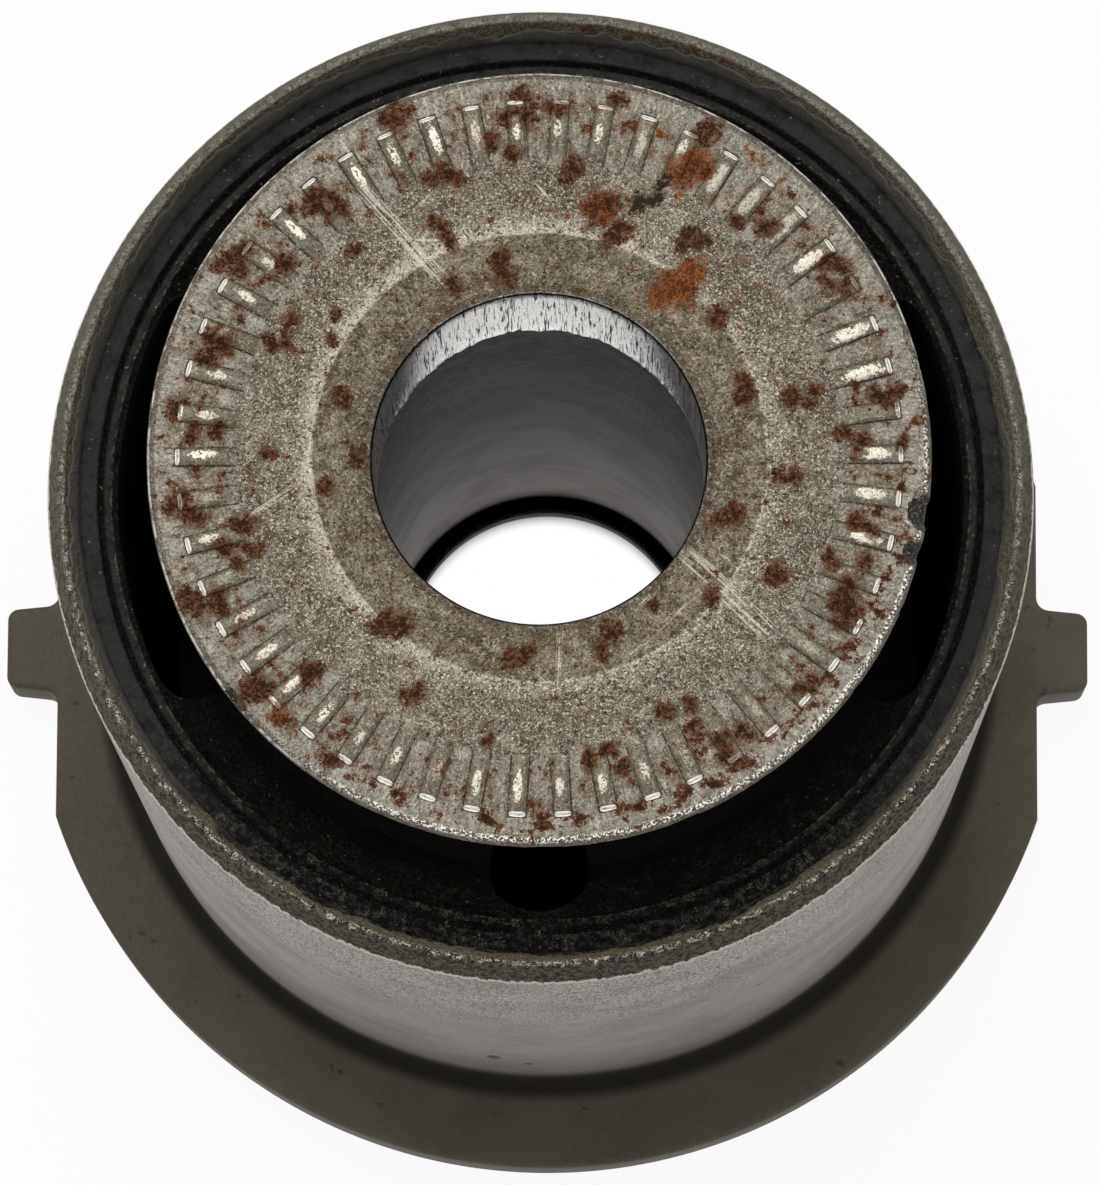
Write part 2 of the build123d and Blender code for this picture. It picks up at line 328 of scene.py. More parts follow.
# Rust on the face: every blotch is a cluster of small bells, and each point takes the highest bell
# and the warmth of the blotch it belongs to.
def rustField(points, cluster=6):
    draw = np.random.default_rng(17)
    counts = [group[3] for group in rustGroups]
    angle, distance, spread, _, size, warmth = np.repeat(np.array(rustGroups), counts, 0).T
    x, y = distance * np.cos(np.radians(angle)), distance * np.sin(np.radians(angle))
    away = spread * np.sqrt(draw.uniform(0, 1, len(size)))
    turn = draw.uniform(0, 2 * math.pi, len(size))
    x, y = x + away * np.cos(turn), y + away * np.sin(turn)
    x, y, size, warmth = (np.repeat(values, cluster) for values in (x, y, size, warmth))
    away = size * draw.uniform(0, 0.95, len(size))
    turn = draw.uniform(0, 2 * math.pi, len(size))
    size = size * draw.uniform(0.35, 0.75, len(size))
    x, y = x + away * np.cos(turn), y + away * np.sin(turn)
    square = (points[..., 0, None] - x) ** 2 + (points[..., 1, None] - y) ** 2
    bells = np.exp(-0.6 * square / size ** 2)
    onFace = points[..., 2] > sleeve["landTop"] + 0.1
    return bells.max(-1) * onFace, warmth[bells.argmax(-1)]


rubber = {
    "seatWidth": 0.95,
    "grooveWidth": 0.26,
    "grooveDepth": 0.6,
    "lipWidth": 0.5,
    "stepDepth": 0.45,
    "valleyDepth": 4.2,
    "neckHeight": 3.0,
    "neckWall": 0.9,
    "neckFootInset": 0.5,
    "lowerValleyDepth": 4.0,
    "canFootGap": 2.2,
    "sleeveSkin": 2.4,
    "canSkin": 1.95,
    "kidneyHalfAngle": math.radians(31),
    "kidneyCorner": 1.6,
    "slotHalfWidth": 2.6,
    "slotSkin": 2.2,
    "edgeRound": 0.1,
    "grooveBridge": math.radians(3.6),
    "filmThickness": 0.06,
    # Rubber film up the rim's inner taper: the share of the taper that it covers, and the windows
    # where the metal shows, as angle, half width in degrees and share uncovered.
    "filmShare": 0.84,
    "windows": ((-90, 5, 0.25), (172, 8, 0.22), (125, 6, 0.1), (43, 1.5, 0.2), (32, 2, 0.4),
                (20.5, 4, 0.72), (12, 1.2, 0.8), (8, 2, 0.4), (-8, 3, 0.75), (-31, 6, 0.15),
                (-54, 3.6, 0.78), (-61, 3, 0.35), (-78, 8, 0.4), (-103, 11, 0.6), (-122, 4, 0.35),
                (-135, 2, 0.6), (88, 34, 0.24)),
}


# Angles of the rubber's columns. Over a void they crowd towards its ends, as a circle's do, and
# between the voids they are even.
def rubberColumns(s):
    centreRadius = (sleeve["shankRadius"] + s["sleeveSkin"] + rubberRadius - s["canSkin"]) / 2
    slotHalf = s["slotHalfWidth"] / centreRadius
    kidneySteps, slotSteps, gapSteps = 64, 4, 57
    spans = []                          # of a kidney, then of a slot, about its own middle
    for half, corner, steps in ((s["kidneyHalfAngle"], s["kidneyCorner"], kidneySteps),
                                (slotHalf, s["slotHalfWidth"], slotSteps)):
        cornerAngle = min(corner / centreRadius, half)
        run = cornerAngle * (1 - np.cos(np.linspace(0, math.pi / 2, 9)))
        left = -half + run
        flat = np.empty(0)
        if half > cornerAngle * 1.02:   # a slot is all corner, so it has no flat
            flat = np.linspace(left[-1], -left[-1], steps + 1)[1:-1]
        spans.append(np.unique(np.round(np.concatenate((left, flat, -left)), 9)))
    angles, voids = [], []
    for quarter in range(4):
        span, nextSpan = spans[quarter % 2], spans[(quarter + 1) % 2]
        start = math.radians(quarter * 90)
        voids.append((sum(map(len, angles)), len(span)))
        angles.append(start + span)
        gapStart, gapEnd = start + span[-1], start + math.pi / 2 + nextSpan[0]
        angles.append(np.linspace(gapStart, gapEnd, gapSteps + 1)[1:-1])
    return np.concatenate(angles), voids


# Half of a void's radial width at an angle from its middle: the full half width, less a circle's
# shortfall within the corner radius of its end.
def voidHalfWidth(fromMiddle, halfAngle, corner, full, centreRadius):
    toEnd = np.clip((halfAngle - np.abs(fromMiddle)) * centreRadius, 0, corner)
    return full - corner + np.sqrt(np.maximum(corner ** 2 - (corner - toEnd) ** 2, 0))


# Indices of the points round a void's hole in a grid of columns by stations: out along the station
# nearer the axis, over, back along the outer one, and over again.
def holeLoop(columns, stations, insideStation, outsideStation):
    way = np.sign(outsideStation - insideStation)
    over = insideStation + way * np.arange(abs(outsideStation - insideStation) + 1)
    return np.concatenate((
        columns[:-1] * stations + insideStation, columns[-1] * stations + over[:-1],
        columns[:0:-1] * stations + outsideStation, columns[0] * stations + over[:0:-1],
    ))


# Rings of points down a void's wall: a quarter round off the top's hole, then a straight wall that
# leans in a little, then a chamfer to the hole of the underside.
def voidRings(topPoints, underPoints, edgeRound):
    tangent = unitRows(np.roll(topPoints, -1, 0)[:, :2] - np.roll(topPoints, 1, 0)[:, :2])
    inwards = np.stack((-tangent[:, 1], tangent[:, 0]), 1)
    centre = topPoints[:, :2].mean(0)
    if ((centre - topPoints[:, :2]) * inwards).sum() < 0:
        inwards = -inwards
    rings = []
    for share in (0.35, 0.75, 1.0):
        drop = edgeRound * (1 - math.sqrt(1 - share * share))
        plan = topPoints[:, :2] + inwards * edgeRound * share
        rings.append(np.column_stack((plan, topPoints[:, 2] - drop)))
    for share in (0.2, 0.5, 0.8):
        level = topPoints[:, 2] * (1 - share) + underPoints[:, 2] * share
        plan = topPoints[:, :2] + inwards * edgeRound * (1 + 1.5 * share)
        rings.append(np.column_stack((plan, level)))
    for share in (1.0, 0.5):
        plan = underPoints[:, :2] + inwards * edgeRound * share
        rings.append(np.column_stack((plan, underPoints[:, 2] + edgeRound * share)))
    return rings


# Film of rubber on the rim's inner taper: stations up the taper, a thickness off it, as far as a
# ragged edge that dips at each window. The last station tucks the edge in behind the metal.
def filmStations(angle, s):
    climb = np.full(len(angle), s["filmShare"])
    for degrees, halfWidth, share in s["windows"]:
        apart = np.angle(np.exp(1j * (angle - math.radians(degrees))))
        climb -= share * np.exp(-(apart / math.radians(halfWidth)) ** 4)
    raggedness = 0.07 * ripple(angle, 25, 110, 23) + 0.06 * ripple(angle, 100, 170, 24)
    climb += raggedness - 0.22 * dents(angle, 80, 0.008, 0.024, 25)
    climb = np.clip(climb, 0.02, 0.95)
    taperRun, taperRise = rimInnerCrown - rubberRadius, rimTop - rubberTop
    length = np.hypot(taperRun, taperRise)
    inward = np.array((-taperRise, taperRun)) / length * s["filmThickness"]
    shares = np.array((0.02, 0.3, 0.6, 0.85, 0.97, 1.0))
    thick = np.array((1, 1, 1, 0.95, 0.6, -0.3))
    radii = rubberRadius + climb[:, None] * shares * taperRun + thick * inward[0]
    heights = rubberTop + climb[:, None] * shares * taperRise + thick * inward[1]
    return radii, heights


# Ring of rubber: columns by stations, where the stations run over the top from the sleeve to the
# can, down the can, back over the underside and in to the lip below the sleeve. Between two of the
# stations the quads over the voids are left out, and walls join the top's hole to the underside's.
def buildRubber(s):
    angle, voids = rubberColumns(s)
    count = len(angle)
    shank = sleeve["shankRadius"]
    inner = shank + s["sleeveSkin"]
    kidneyOuter, slotOuter = rubberRadius - s["canSkin"], rubberRadius - s["slotSkin"]
    centreRadius = (inner + kidneyOuter) / 2

    # The voids' middle and half width at each column, run on evenly between the voids.
    turned = (angle + math.pi / 4) % (math.pi / 2) - math.pi / 4
    slotSide = np.abs(np.sin(angle)) > math.sqrt(0.5)
    halfAngle = np.where(slotSide, s["slotHalfWidth"] / centreRadius, s["kidneyHalfAngle"])
    inVoid = np.abs(turned) <= halfAngle + 1e-7
    middle = np.where(slotSide, (inner + slotOuter) / 2, centreRadius)
    slotHalf = voidHalfWidth(turned, s["slotHalfWidth"] / centreRadius, s["slotHalfWidth"],
                             (slotOuter - inner) / 2, centreRadius)
    kidneyHalf = voidHalfWidth(turned, s["kidneyHalfAngle"], s["kidneyCorner"],
                               (kidneyOuter - inner) / 2, centreRadius)
    half = np.maximum(np.where(slotSide, slotHalf, kidneyHalf), 0.12) + s["edgeRound"]
    fromVoids = np.where(inVoid)[0]
    middle = np.interp(np.arange(count), fromVoids, middle[fromVoids], period=count)
    half = np.interp(np.arange(count), fromVoids, half[fromVoids], period=count)
    voidInner, voidOuter = middle - half, middle + half

    # Profile of the top, from the shank out to the can.
    seatInner = rubberRadius - s["seatWidth"]
    grooveInner = seatInner - s["grooveWidth"]
    lipInner = grooveInner - s["lipWidth"]
    slopeTop = rubberTop - s["stepDepth"]
    valley = rubberTop - s["valleyDepth"]
    neckTop = valley + s["neckHeight"]
    neckFoot = inner - s["neckFootInset"]
    grooveFoot = rubberTop - s["grooveDepth"]
    valleyOuter = (inner + lipInner) / 2
    near = shank + s["neckWall"]
    topR, topZ = np.array((
        (shank, neckTop), (near - 0.15, neckTop), (near, neckTop - 0.15),
        (neckFoot - 0.15, valley + 0.45), (neckFoot + 0.2, valley), (valleyOuter, valley),
        (lipInner - 0.1, slopeTop), (lipInner - 0.02, slopeTop + 0.02),
        (lipInner + 0.03, rubberTop - 0.1), (lipInner + 0.12, rubberTop - 0.01),
        (grooveInner - 0.14, rubberTop), (grooveInner - 0.04, rubberTop - 0.06),
        (grooveInner + 0.03, grooveFoot), (seatInner - 0.03, grooveFoot),
        (seatInner + 0.04, rubberTop - 0.05), (seatInner + 0.12, rubberTop), (rubberRadius, rubberTop),
    )).T

    def fixed(*radii):
        return np.repeat(np.array(radii)[None], count, 0)

    def spread(start, end, steps):
        shares = np.linspace(0, 1, steps + 1)[:-1]
        return start[:, None] + shares * (end - start)[:, None]

    innerRuns = fixed(shank, near - 0.15, near, near + 0.35, neckFoot - 0.15, neckFoot + 0.04)
    neckSpread = spread(np.full(count, neckFoot + 0.2), voidInner, 2)
    acrossVoid = 4                      # steps over a void, which its walls take up again
    edge = np.full(count, lipInner - 0.07)
    top = np.concatenate((
        innerRuns,
        neckSpread,
        spread(voidInner, voidOuter, acrossVoid),
        spread(voidOuter, np.maximum(edge, voidOuter + 0.01), 5),
        fixed(lipInner - 0.02, lipInner + 0.03, lipInner + 0.12, (lipInner + grooveInner) / 2),
        fixed(grooveInner - 0.14, grooveInner - 0.04, grooveInner + 0.03, seatInner - 0.03),
        fixed(seatInner + 0.04, seatInner + 0.12, seatInner + 0.35, seatInner + 0.6),
        fixed(rubberRadius - 0.12),
    ), 1)
    holeStart = innerRuns.shape[1] + neckSpread.shape[1]
    z = np.interp(top, topR, topZ)

    # Some rubber bridges the groove at -Y, and the lip and seat are a little uneven.
    bridgeStart, bridgeEnd = math.cos(s["grooveBridge"] * 1.25), math.cos(s["grooveBridge"])
    bridge = easeStep(np.cos(angle + math.pi / 2), bridgeStart, bridgeEnd)
    bridged = np.maximum(z, rubberTop - 0.12)
    z = np.where((top > lipInner) & (top < seatInner + 0.1), z + (bridged - z) * bridge[:, None], z)
    z += 0.03 * (ripple(angle, 8, 40, 21)[:, None] * (top > lipInner + 0.1) * (top < grooveInner))
    onSlope = easeStep(top, shank + 1.5, shank + 3)
    z += 0.10 * ripple(angle, 20, 90, 22)[:, None] * onSlope * (top < lipInner - 0.3)

    filmR, filmZ = filmStations(angle, s)

    # Underside, from the can in to the bore, and then up to the lip below the sleeve.
    lowValley = rubberFoot + s["lowerValleyDepth"]
    outerRuns = fixed(rubberRadius, rubberRadius - 0.3)
    outerSpread = spread(np.full(count, rubberRadius - 0.6), voidOuter, 4)
    footRuns = fixed(neckFoot, neckFoot - 0.1, neckFoot - 1.2, shank - 1,
                     (shank + boreRadius) / 2, boreRadius + 0.3, boreRadius)
    under = np.concatenate((
        outerRuns,
        outerSpread,
        spread(voidOuter, voidInner, acrossVoid),
        spread(voidInner, np.full(count, neckFoot), 2),
        footRuns,
    ), 1)
    underR = (boreRadius, boreRadius + 0.3, neckFoot - 0.1, neckFoot, neckFoot + 0.02,
              valleyOuter, rubberRadius)
    underZ = np.interp(under, underR, (rubberFoot + 0.2, rubberFoot, rubberFoot, rubberFoot + 0.1,
                                       lowValley, lowValley, s["canFootGap"]))
    underZ[:, -footRuns.shape[1] - 1] = lowValley
    endR = fixed(boreRadius, boreRadius + 0.2, shank)
    endZ = fixed(sleeveEnd - 0.2, sleeveEnd, sleeveEnd)

    # The grid, with the voids' holes cut in it and walled.
    radii = np.concatenate((top, filmR, under, endR), 1)
    heights = np.concatenate((z, filmZ, underZ, endZ), 1)
    stations = radii.shape[1]
    points = np.stack((radii * np.cos(angle)[:, None], radii * np.sin(angle)[:, None], heights), -1)
    quads = ringQuads(count, stations)
    keep = np.ones((count, stations), bool)
    vertices, walls = [points.reshape(-1, 3)], []
    total = count * stations
    underStart = top.shape[1] + filmR.shape[1] + outerRuns.shape[1] + outerSpread.shape[1]
    for first, length in voids:
        columns = first + np.arange(length)
        keep[columns[:-1], holeStart:holeStart + acrossVoid] = False
        keep[columns[:-1], underStart:underStart + acrossVoid] = False
        topLoop = holeLoop(columns, stations, holeStart, holeStart + acrossVoid)
        underLoop = holeLoop(columns, stations, underStart + acrossVoid, underStart)
        topPoints, underPoints = vertices[0][topLoop], vertices[0][underLoop]
        rings = voidRings(topPoints, underPoints, s["edgeRound"])
        size = len(topLoop)
        added = total + np.arange(len(rings) * size).reshape(len(rings), size)
        total += added.size
        vertices.append(np.concatenate(rings))
        index = np.concatenate((topLoop[None], added, underLoop[None]))
        nextIndex = np.roll(index, -1, 1)
        walls.append(np.stack((index[:-1], nextIndex[:-1], nextIndex[1:], index[1:]), -1).reshape(-1, 4))
    quads = np.concatenate([quads[keep]] + walls)
    piece = makePiece("rubber_ring", np.concatenate(vertices), quads, "rubber_body")
    pointOutwards(piece)
    return piece


def pointOutwards(piece):
    work = bmesh.new()
    work.from_mesh(piece.data)
    bmesh.ops.recalc_face_normals(work, faces=work.faces)
    work.to_mesh(piece.data)
    work.free()


can = {
    "wall": canRadius - rubberRadius,
    "wallTop": rubberTop,
    "outerTaper": 0.65,
    "crownWidth": 0.35,
    "crownRound": 0.13,
    "flangeThickness": 4.3,
    "flangeFillet": 1.5,
    "flangeEdgeRound": 0.35,
    "footEdgeRound": 0.2,
    "halfFlats": 28.45,
    "tabHalfRoot": 2.55,
    "tabHalfTip": 2.25,
    "tabCorner": 0.65,
    "tabRootRound": 0.75,
    "mouthChamfer": 0.8,
    "crownWear": 0.045,
}
rimOuterCrown = canRadius - can["outerTaper"]
rimInnerCrown = rimOuterCrown - can["crownWidth"]


# Plan of the flange as points and outward normals: a quarter of it, from the middle of a tab to the
# +Y side, is a rounded path and then an arc, and mirroring it twice gives the rest.
def flangePlan(s):
    flatEnd = math.acos(s["halfFlats"] / flangeRadius)
    arc = np.arange(flatEnd + 0.02, math.pi / 2, 0.0145)
    quarter = np.concatenate((
        roundedPath((
            (halfTabs, 0, 0, 4),
            (halfTabs, s["tabHalfTip"], s["tabCorner"], 4),
            (s["halfFlats"], s["tabHalfRoot"], s["tabRootRound"], 12),
            (s["halfFlats"], flangeRadius * math.sin(flatEnd), 0.25, 2),
            (flangeRadius * math.cos(arc[0]), flangeRadius * math.sin(arc[0]), 0, 1),
        ), closed=False),
        flangeRadius * np.stack((np.cos(arc[1:]), np.sin(arc[1:])), 1),
        ((0, flangeRadius),),
    ))
    half = np.concatenate((quarter, quarter[-2::-1] * (-1, 1)))
    plan = np.concatenate((half, half[-2:0:-1] * (1, -1)))
    ahead = unitRows(np.roll(plan, -1, 0) - plan)
    behind = unitRows(plan - np.roll(plan, 1, 0))
    tangent = unitRows(ahead + behind)
    return plan, np.stack((tangent[:, 1], -tangent[:, 0]), 1)


# Flanged tube: each station is a circle of radius r, a point of the flange's plan moved inwards by
# an inset, or a share of the way from the one to the other.
def buildCan(s):
    plan, normal = flangePlan(s)
    angle = np.arctan2(plan[:, 1], plan[:, 0])
    inner = canRadius - s["wall"]
    thick = s["flangeThickness"]

    # Stations: radius, height, share of the way from that circle to the plan, the plan's inset.
    stations = []
    mouth = inner + s["mouthChamfer"]
    quarterTurn = np.linspace(0, math.pi / 2, 5)
    for share in (0, 0.4, 0.8):
        stations.append((mouth, canFoot, share, s["footEdgeRound"]))
    for turn in quarterTurn:
        stations.append((mouth, canFoot + s["footEdgeRound"] * (1 - math.cos(turn)), 1,
                         s["footEdgeRound"] * (1 - math.sin(turn))))
    for turn in quarterTurn[::-1]:
        stations.append((mouth, thick - s["flangeEdgeRound"] * (1 - math.cos(turn)), 1,
                         s["flangeEdgeRound"] * (1 - math.sin(turn))))
    filletFoot = canRadius + s["flangeFillet"]
    for share in (0.75, 0.5, 0.25):
        stations.append((filletFoot, thick, share, s["flangeEdgeRound"]))
    for turn in np.linspace(0, math.pi / 2, 8):
        stations.append((filletFoot - s["flangeFillet"] * math.sin(turn),
                         thick + s["flangeFillet"] * (1 - math.cos(turn)), 0, 0))
    wallSteps = 12
    rise = (s["wallTop"] - thick - s["flangeFillet"]) / wallSteps
    for step in range(1, wallSteps - 1):
        stations.append((canRadius, thick + s["flangeFillet"] + rise * step, 0, 0))
    rim = roundedPath((
        (canRadius, s["wallTop"] - rise, 0, 3),
        (canRadius, s["wallTop"], 0.15, 5),
        (rimOuterCrown, rimTop, s["crownRound"], 1),
        (rimInnerCrown, rimTop, s["crownRound"], 7),
        (inner, s["wallTop"], 0.15, 3),
        (inner, s["wallTop"] - 2, 0, 1),
    ), closed=False)
    rimStart = len(stations)
    stations += [(r, z, 0, 0) for r, z in rim]
    stations += [(inner, z, 0, 0) for z in np.linspace(s["wallTop"] - 8, s["mouthChamfer"], 6)]
    radius, height, share, inset = np.array(stations).T

    circle = np.stack((np.cos(angle), np.sin(angle)), 1)[:, None] * radius[:, None]
    outline = plan[:, None] - normal[:, None] * inset[:, None]
    flat = circle * (1 - share[:, None]) + outline * share[:, None]
    points = np.concatenate((flat, np.broadcast_to(height, flat.shape[:2])[..., None]), 2)

    # Knocks and burrs along the crown, in the rim's stations only.
    crown = np.clip((height - (rimTop - 0.6)) / 0.6, 0, 1) * (np.arange(len(height)) >= rimStart)
    knocks = 0.35 * ripple(angle, 60, 220, 31, 30) + 0.5 * ripple(angle, 8, 30, 32)
    knocks += dents(angle, 110, 0.005, 0.02, 33)
    points[..., 2] -= s["crownWear"] * crown * np.abs(knocks)[:, None]
    sideways = s["crownWear"] * 0.6 * ripple(angle, 30, 160, 34, 30)[:, None] * crown
    points[..., :2] += circle / radius[:, None] * sideways[..., None]
    return makePiece("flanged_can", points, ringQuads(len(angle), len(height)), "outer_can")


def tone(red, green, blue):
    # Screen colour, 0 to 255 a channel, as the linear colour that a shader takes.
    share = np.array((red, green, blue)) / 255
    linear = np.where(share <= 0.04045, share / 12.92, ((share + 0.055) / 1.055) ** 2.4)
    return (*linear.tolist(), 1.0)


# A number, colour or vector in a shader. Each sign between two of them adds a Math node.
class Signal:
    tree = None              # the node tree that is being built

    def __init__(self, socket):
        self.socket = socket

    def __add__(self, other):
        return calc("ADD", self, other)

    def __sub__(self, other):
        return calc("SUBTRACT", self, other)

    def __rsub__(self, other):
        return calc("SUBTRACT", other, self)

    def __mul__(self, other):
        return calc("MULTIPLY", self, other)

    def __truediv__(self, other):
        return calc("DIVIDE", self, other)

    def __abs__(self):
        return calc("ABSOLUTE", self)


def addNode(kind, inputs=None, **settings):
    made = Signal.tree.nodes.new("ShaderNode" + kind)
    for name, value in settings.items():
        setattr(made, name, value)
    for name, value in (inputs or {}).items():
        if isinstance(value, Signal):
            Signal.tree.links.new(value.socket, made.inputs[name])
        else:
            made.inputs[name].default_value = value
    return made


def signal(kind, inputs=None, output=0, **settings):
    return Signal(addNode(kind, inputs, **settings).outputs[output])


def calc(operation, first, second=0.0):
    return signal("Math", {0: first, 1: second}, operation=operation)


def highest(*values):
    result = values[0]
    for value in values[1:]:
        result = calc("MAXIMUM", result, value)
    return result


# 0 at the start and 1 at the end of a range, smooth between. The start may be the larger.
def stepOver(value, start, end):
    inputs = {"Value": value, "From Min": start, "From Max": end}
    return signal("MapRange", inputs, interpolation_type="SMOOTHSTEP")


# 1 within half a width of a centre, 0 outside it, smooth between.
def bandAt(value, centre, halfWidth, soft):
    return stepOver(abs(value - centre), halfWidth + soft, halfWidth - soft)


# 1 on the side that faces a direction: the cosine of the angle away from it, over a range.
def facing(angle, direction, start, end):
    return stepOver(calc("COSINE", angle - direction), start, end)


def mixTone(share, low, high):
    return signal("Mix", {0: share, 6: low, 7: high}, 2, data_type="RGBA")


def stretched(where, *factors):
    return signal("VectorMath", {0: where, 1: factors}, operation="MULTIPLY")


def joined(x, y, z):
    return signal("CombineXYZ", {0: x, 1: y, 2: z})


def attribute(name):
    return signal("Attribute", output="Fac", attribute_name=name)


# Noise from 0 to 1. The shift of the place gives every grain a pattern of its own.
def grain(where, scale, detail=2.0, roughness=0.5, shift=0.0):
    if shift:
        where = signal("VectorMath", {0: where, 1: (shift, shift, shift)}, operation="ADD")
    inputs = {"Vector": where, "Scale": scale, "Detail": detail, "Roughness": roughness}
    return signal("TexNoise", inputs)


def emptyTree(owner):
    owner.use_nodes = True
    owner.node_tree.nodes.clear()
    Signal.tree = owner.node_tree


# A new material, the place of a point in millimetres, its parts, and its distance from the axis.
def startMaterial(name):
    material = bpy.data.materials.new(name)
    emptyTree(material)
    where = stretched(signal("TexCoord", output="Object"), 1 / mm, 1 / mm, 1 / mm)
    x, y, z = map(Signal, addNode("SeparateXYZ", {0: where}).outputs)
    return material, where, x, y, z, calc("SQRT", x * x + y * y)


# The finish of a material. The bump's depth is in millimetres, for a height of 1.
def finishMaterial(colour, metallic, roughness, height, depth, specular):
    bump = signal("Bump", {"Strength": 1.0, "Distance": depth * mm, "Height": height})
    shader = signal("BsdfPrincipled", {
        "Base Color": colour, "Metallic": metallic, "Roughness": roughness, "Normal": bump,
        "Specular IOR Level": specular,
    })
    addNode("OutputMaterial", {0: shader})


sleeveFinish = {
    "rough": tone(79, 69, 54),
    "roughLight": tone(151, 144, 127),
    "pit": tone(48, 39, 28),
    "fleck": tone(214, 208, 194),
    "valley": tone(157, 152, 141),
    "valleyDark": tone(118, 111, 98),
    "dish": tone(79, 70, 54),
    "dishLight": tone(142, 132, 112),
    "ring": tone(196, 188, 173),
    "toothTop": tone(95, 88, 72),
    "crease": tone(30, 24, 19),
    "burnish": tone(196, 190, 176),
    "glint": tone(244, 241, 232),
    "hatch": tone(190, 184, 168),
    "edge": tone(104, 98, 87),
    "stain": tone(92, 70, 46),
    "stainDark": tone(66, 46, 30),
    "rustDark": tone(34, 20, 11),
    "rustRed": tone(106, 60, 36),
    "rustWarm": tone(160, 86, 40),
    "rustBlack": tone(42, 36, 25),
    "landLight": tone(242, 238, 234),
    "landDark": tone(27, 25, 24),
    "coredBore": tone(146, 140, 138),
    "chipDark": tone(36, 35, 32),
    "chipLight": tone(118, 115, 108),
    "edgeCalm": tone(84, 79, 69),
    # Distances from the axis, in millimetres. A pair is where a zone starts and where it is full.
    "besideDish": (14.2, 12.0),
    "flatRim": (15.2, 16.6),
    "dishDark": 9.9,                    # where the dish starts to darken towards the bore
    "burnishRadius": 16.35,             # of the innermost middle of a burnished patch
    "toothRustRadius": 17.0,
    "rimRustRadius": 18.3,
    # Directions round the axis that a part of the finish faces.
    # side where the dish ring's painted highlight is brightest
    "ringSide": math.radians(150),
    "brightSide": math.radians(24),
    "dullSide": math.radians(-45),
    "calmSide": math.radians(45),
    "nickedSide": math.radians(-58),
    # Fibres in the face: heading, and shift of their grain.
    "fibreHeadings": ((math.radians(-48), 71.0), (math.radians(35), 83.0)),
    # Grains: cycles for each unit of the place, octaves, roughness, shift of the pattern.
    "fineGrain": (4.4, 2.4, 0.75),
    "finerGrain": (7.5, 1.4, 0.65, 7.0),
    "finestGrain": (13.0, 1.0, 0.6, 37.0),
    "mediumGrain": (1.3, 4.0, 0.65, 3.0),
    "broadGrain": (0.24, 3.0, 0.6, 5.0),
    "beadGrain": (8.5, 1.0, 0.7, 61.0),
    "dashGrain": (1.0, 3.0, 0.7, 57.0),
    "pitGrain": (6.2, 2.0, 0.7, 51.0),
    "fleckGrain": (6.4, 2.0, 0.7, 31.0),
    "dishSpeckGrain": (3.6, 3.0, 0.7, 91.0),
    "crumbGrain": (3.0, 4.0, 0.8, 13.0),
    "strayGrain": (1.15, 4.0, 0.78, 23.0),
    "tinyGrain": (3.1, 3.0, 0.7, 43.0),
    "streakGrain": (1.0, 4.0, 0.8, 2.0),
    "fineStreakGrain": (1.0, 2.0, 0.6, 9.0),
    "mouthGrain": (1.1, 3.0, 0.6, 17.0),
}
# Scratches on the face: start, end and half width of the bundle, in millimetres.
scratches = (
    ((-8.9, 13.4), (-4.0, 8.0), 0.36), ((7.2, -4.7), (11.4, -8.8), 0.5),
    ((-0.2, 13.6), (0.4, 12.9), 0.16), ((-7.2, 10.8), (-4.7, 10.8), 0.06),
    ((1.1, -8.3), (0.9, -12.4), 0.12), ((-12.0, -1.6), (-14.4, -3.2), 0.14),
    ((4.4, -10.0), (8.0, -6.6), 0.1),
)


# Share of a scratch bundle at a point: 1 near the line through its ends, broken up across the line
# by a fine grain that is drawn out along it.
def scratchShare(x, y, start, end, halfWidth):
    (startX, startY), (endX, endY) = start, end
    length = math.hypot(endX - startX, endY - startY)
    wayX, wayY = (endX - startX) / length, (endY - startY) / length
    fromX, fromY = x - startX, y - startY
    along = fromX * wayX + fromY * wayY
    aside = fromX * wayY - fromY * wayX
    inside = bandAt(along, length / 2, length / 2, 0.3) * bandAt(aside, 0, halfWidth, 0.06)
    fibres = grain(joined(along * 0.35, aside * 9.0, startX), 1.0, 1.0)
    return inside * stepOver(fibres, 0.45, 0.56)


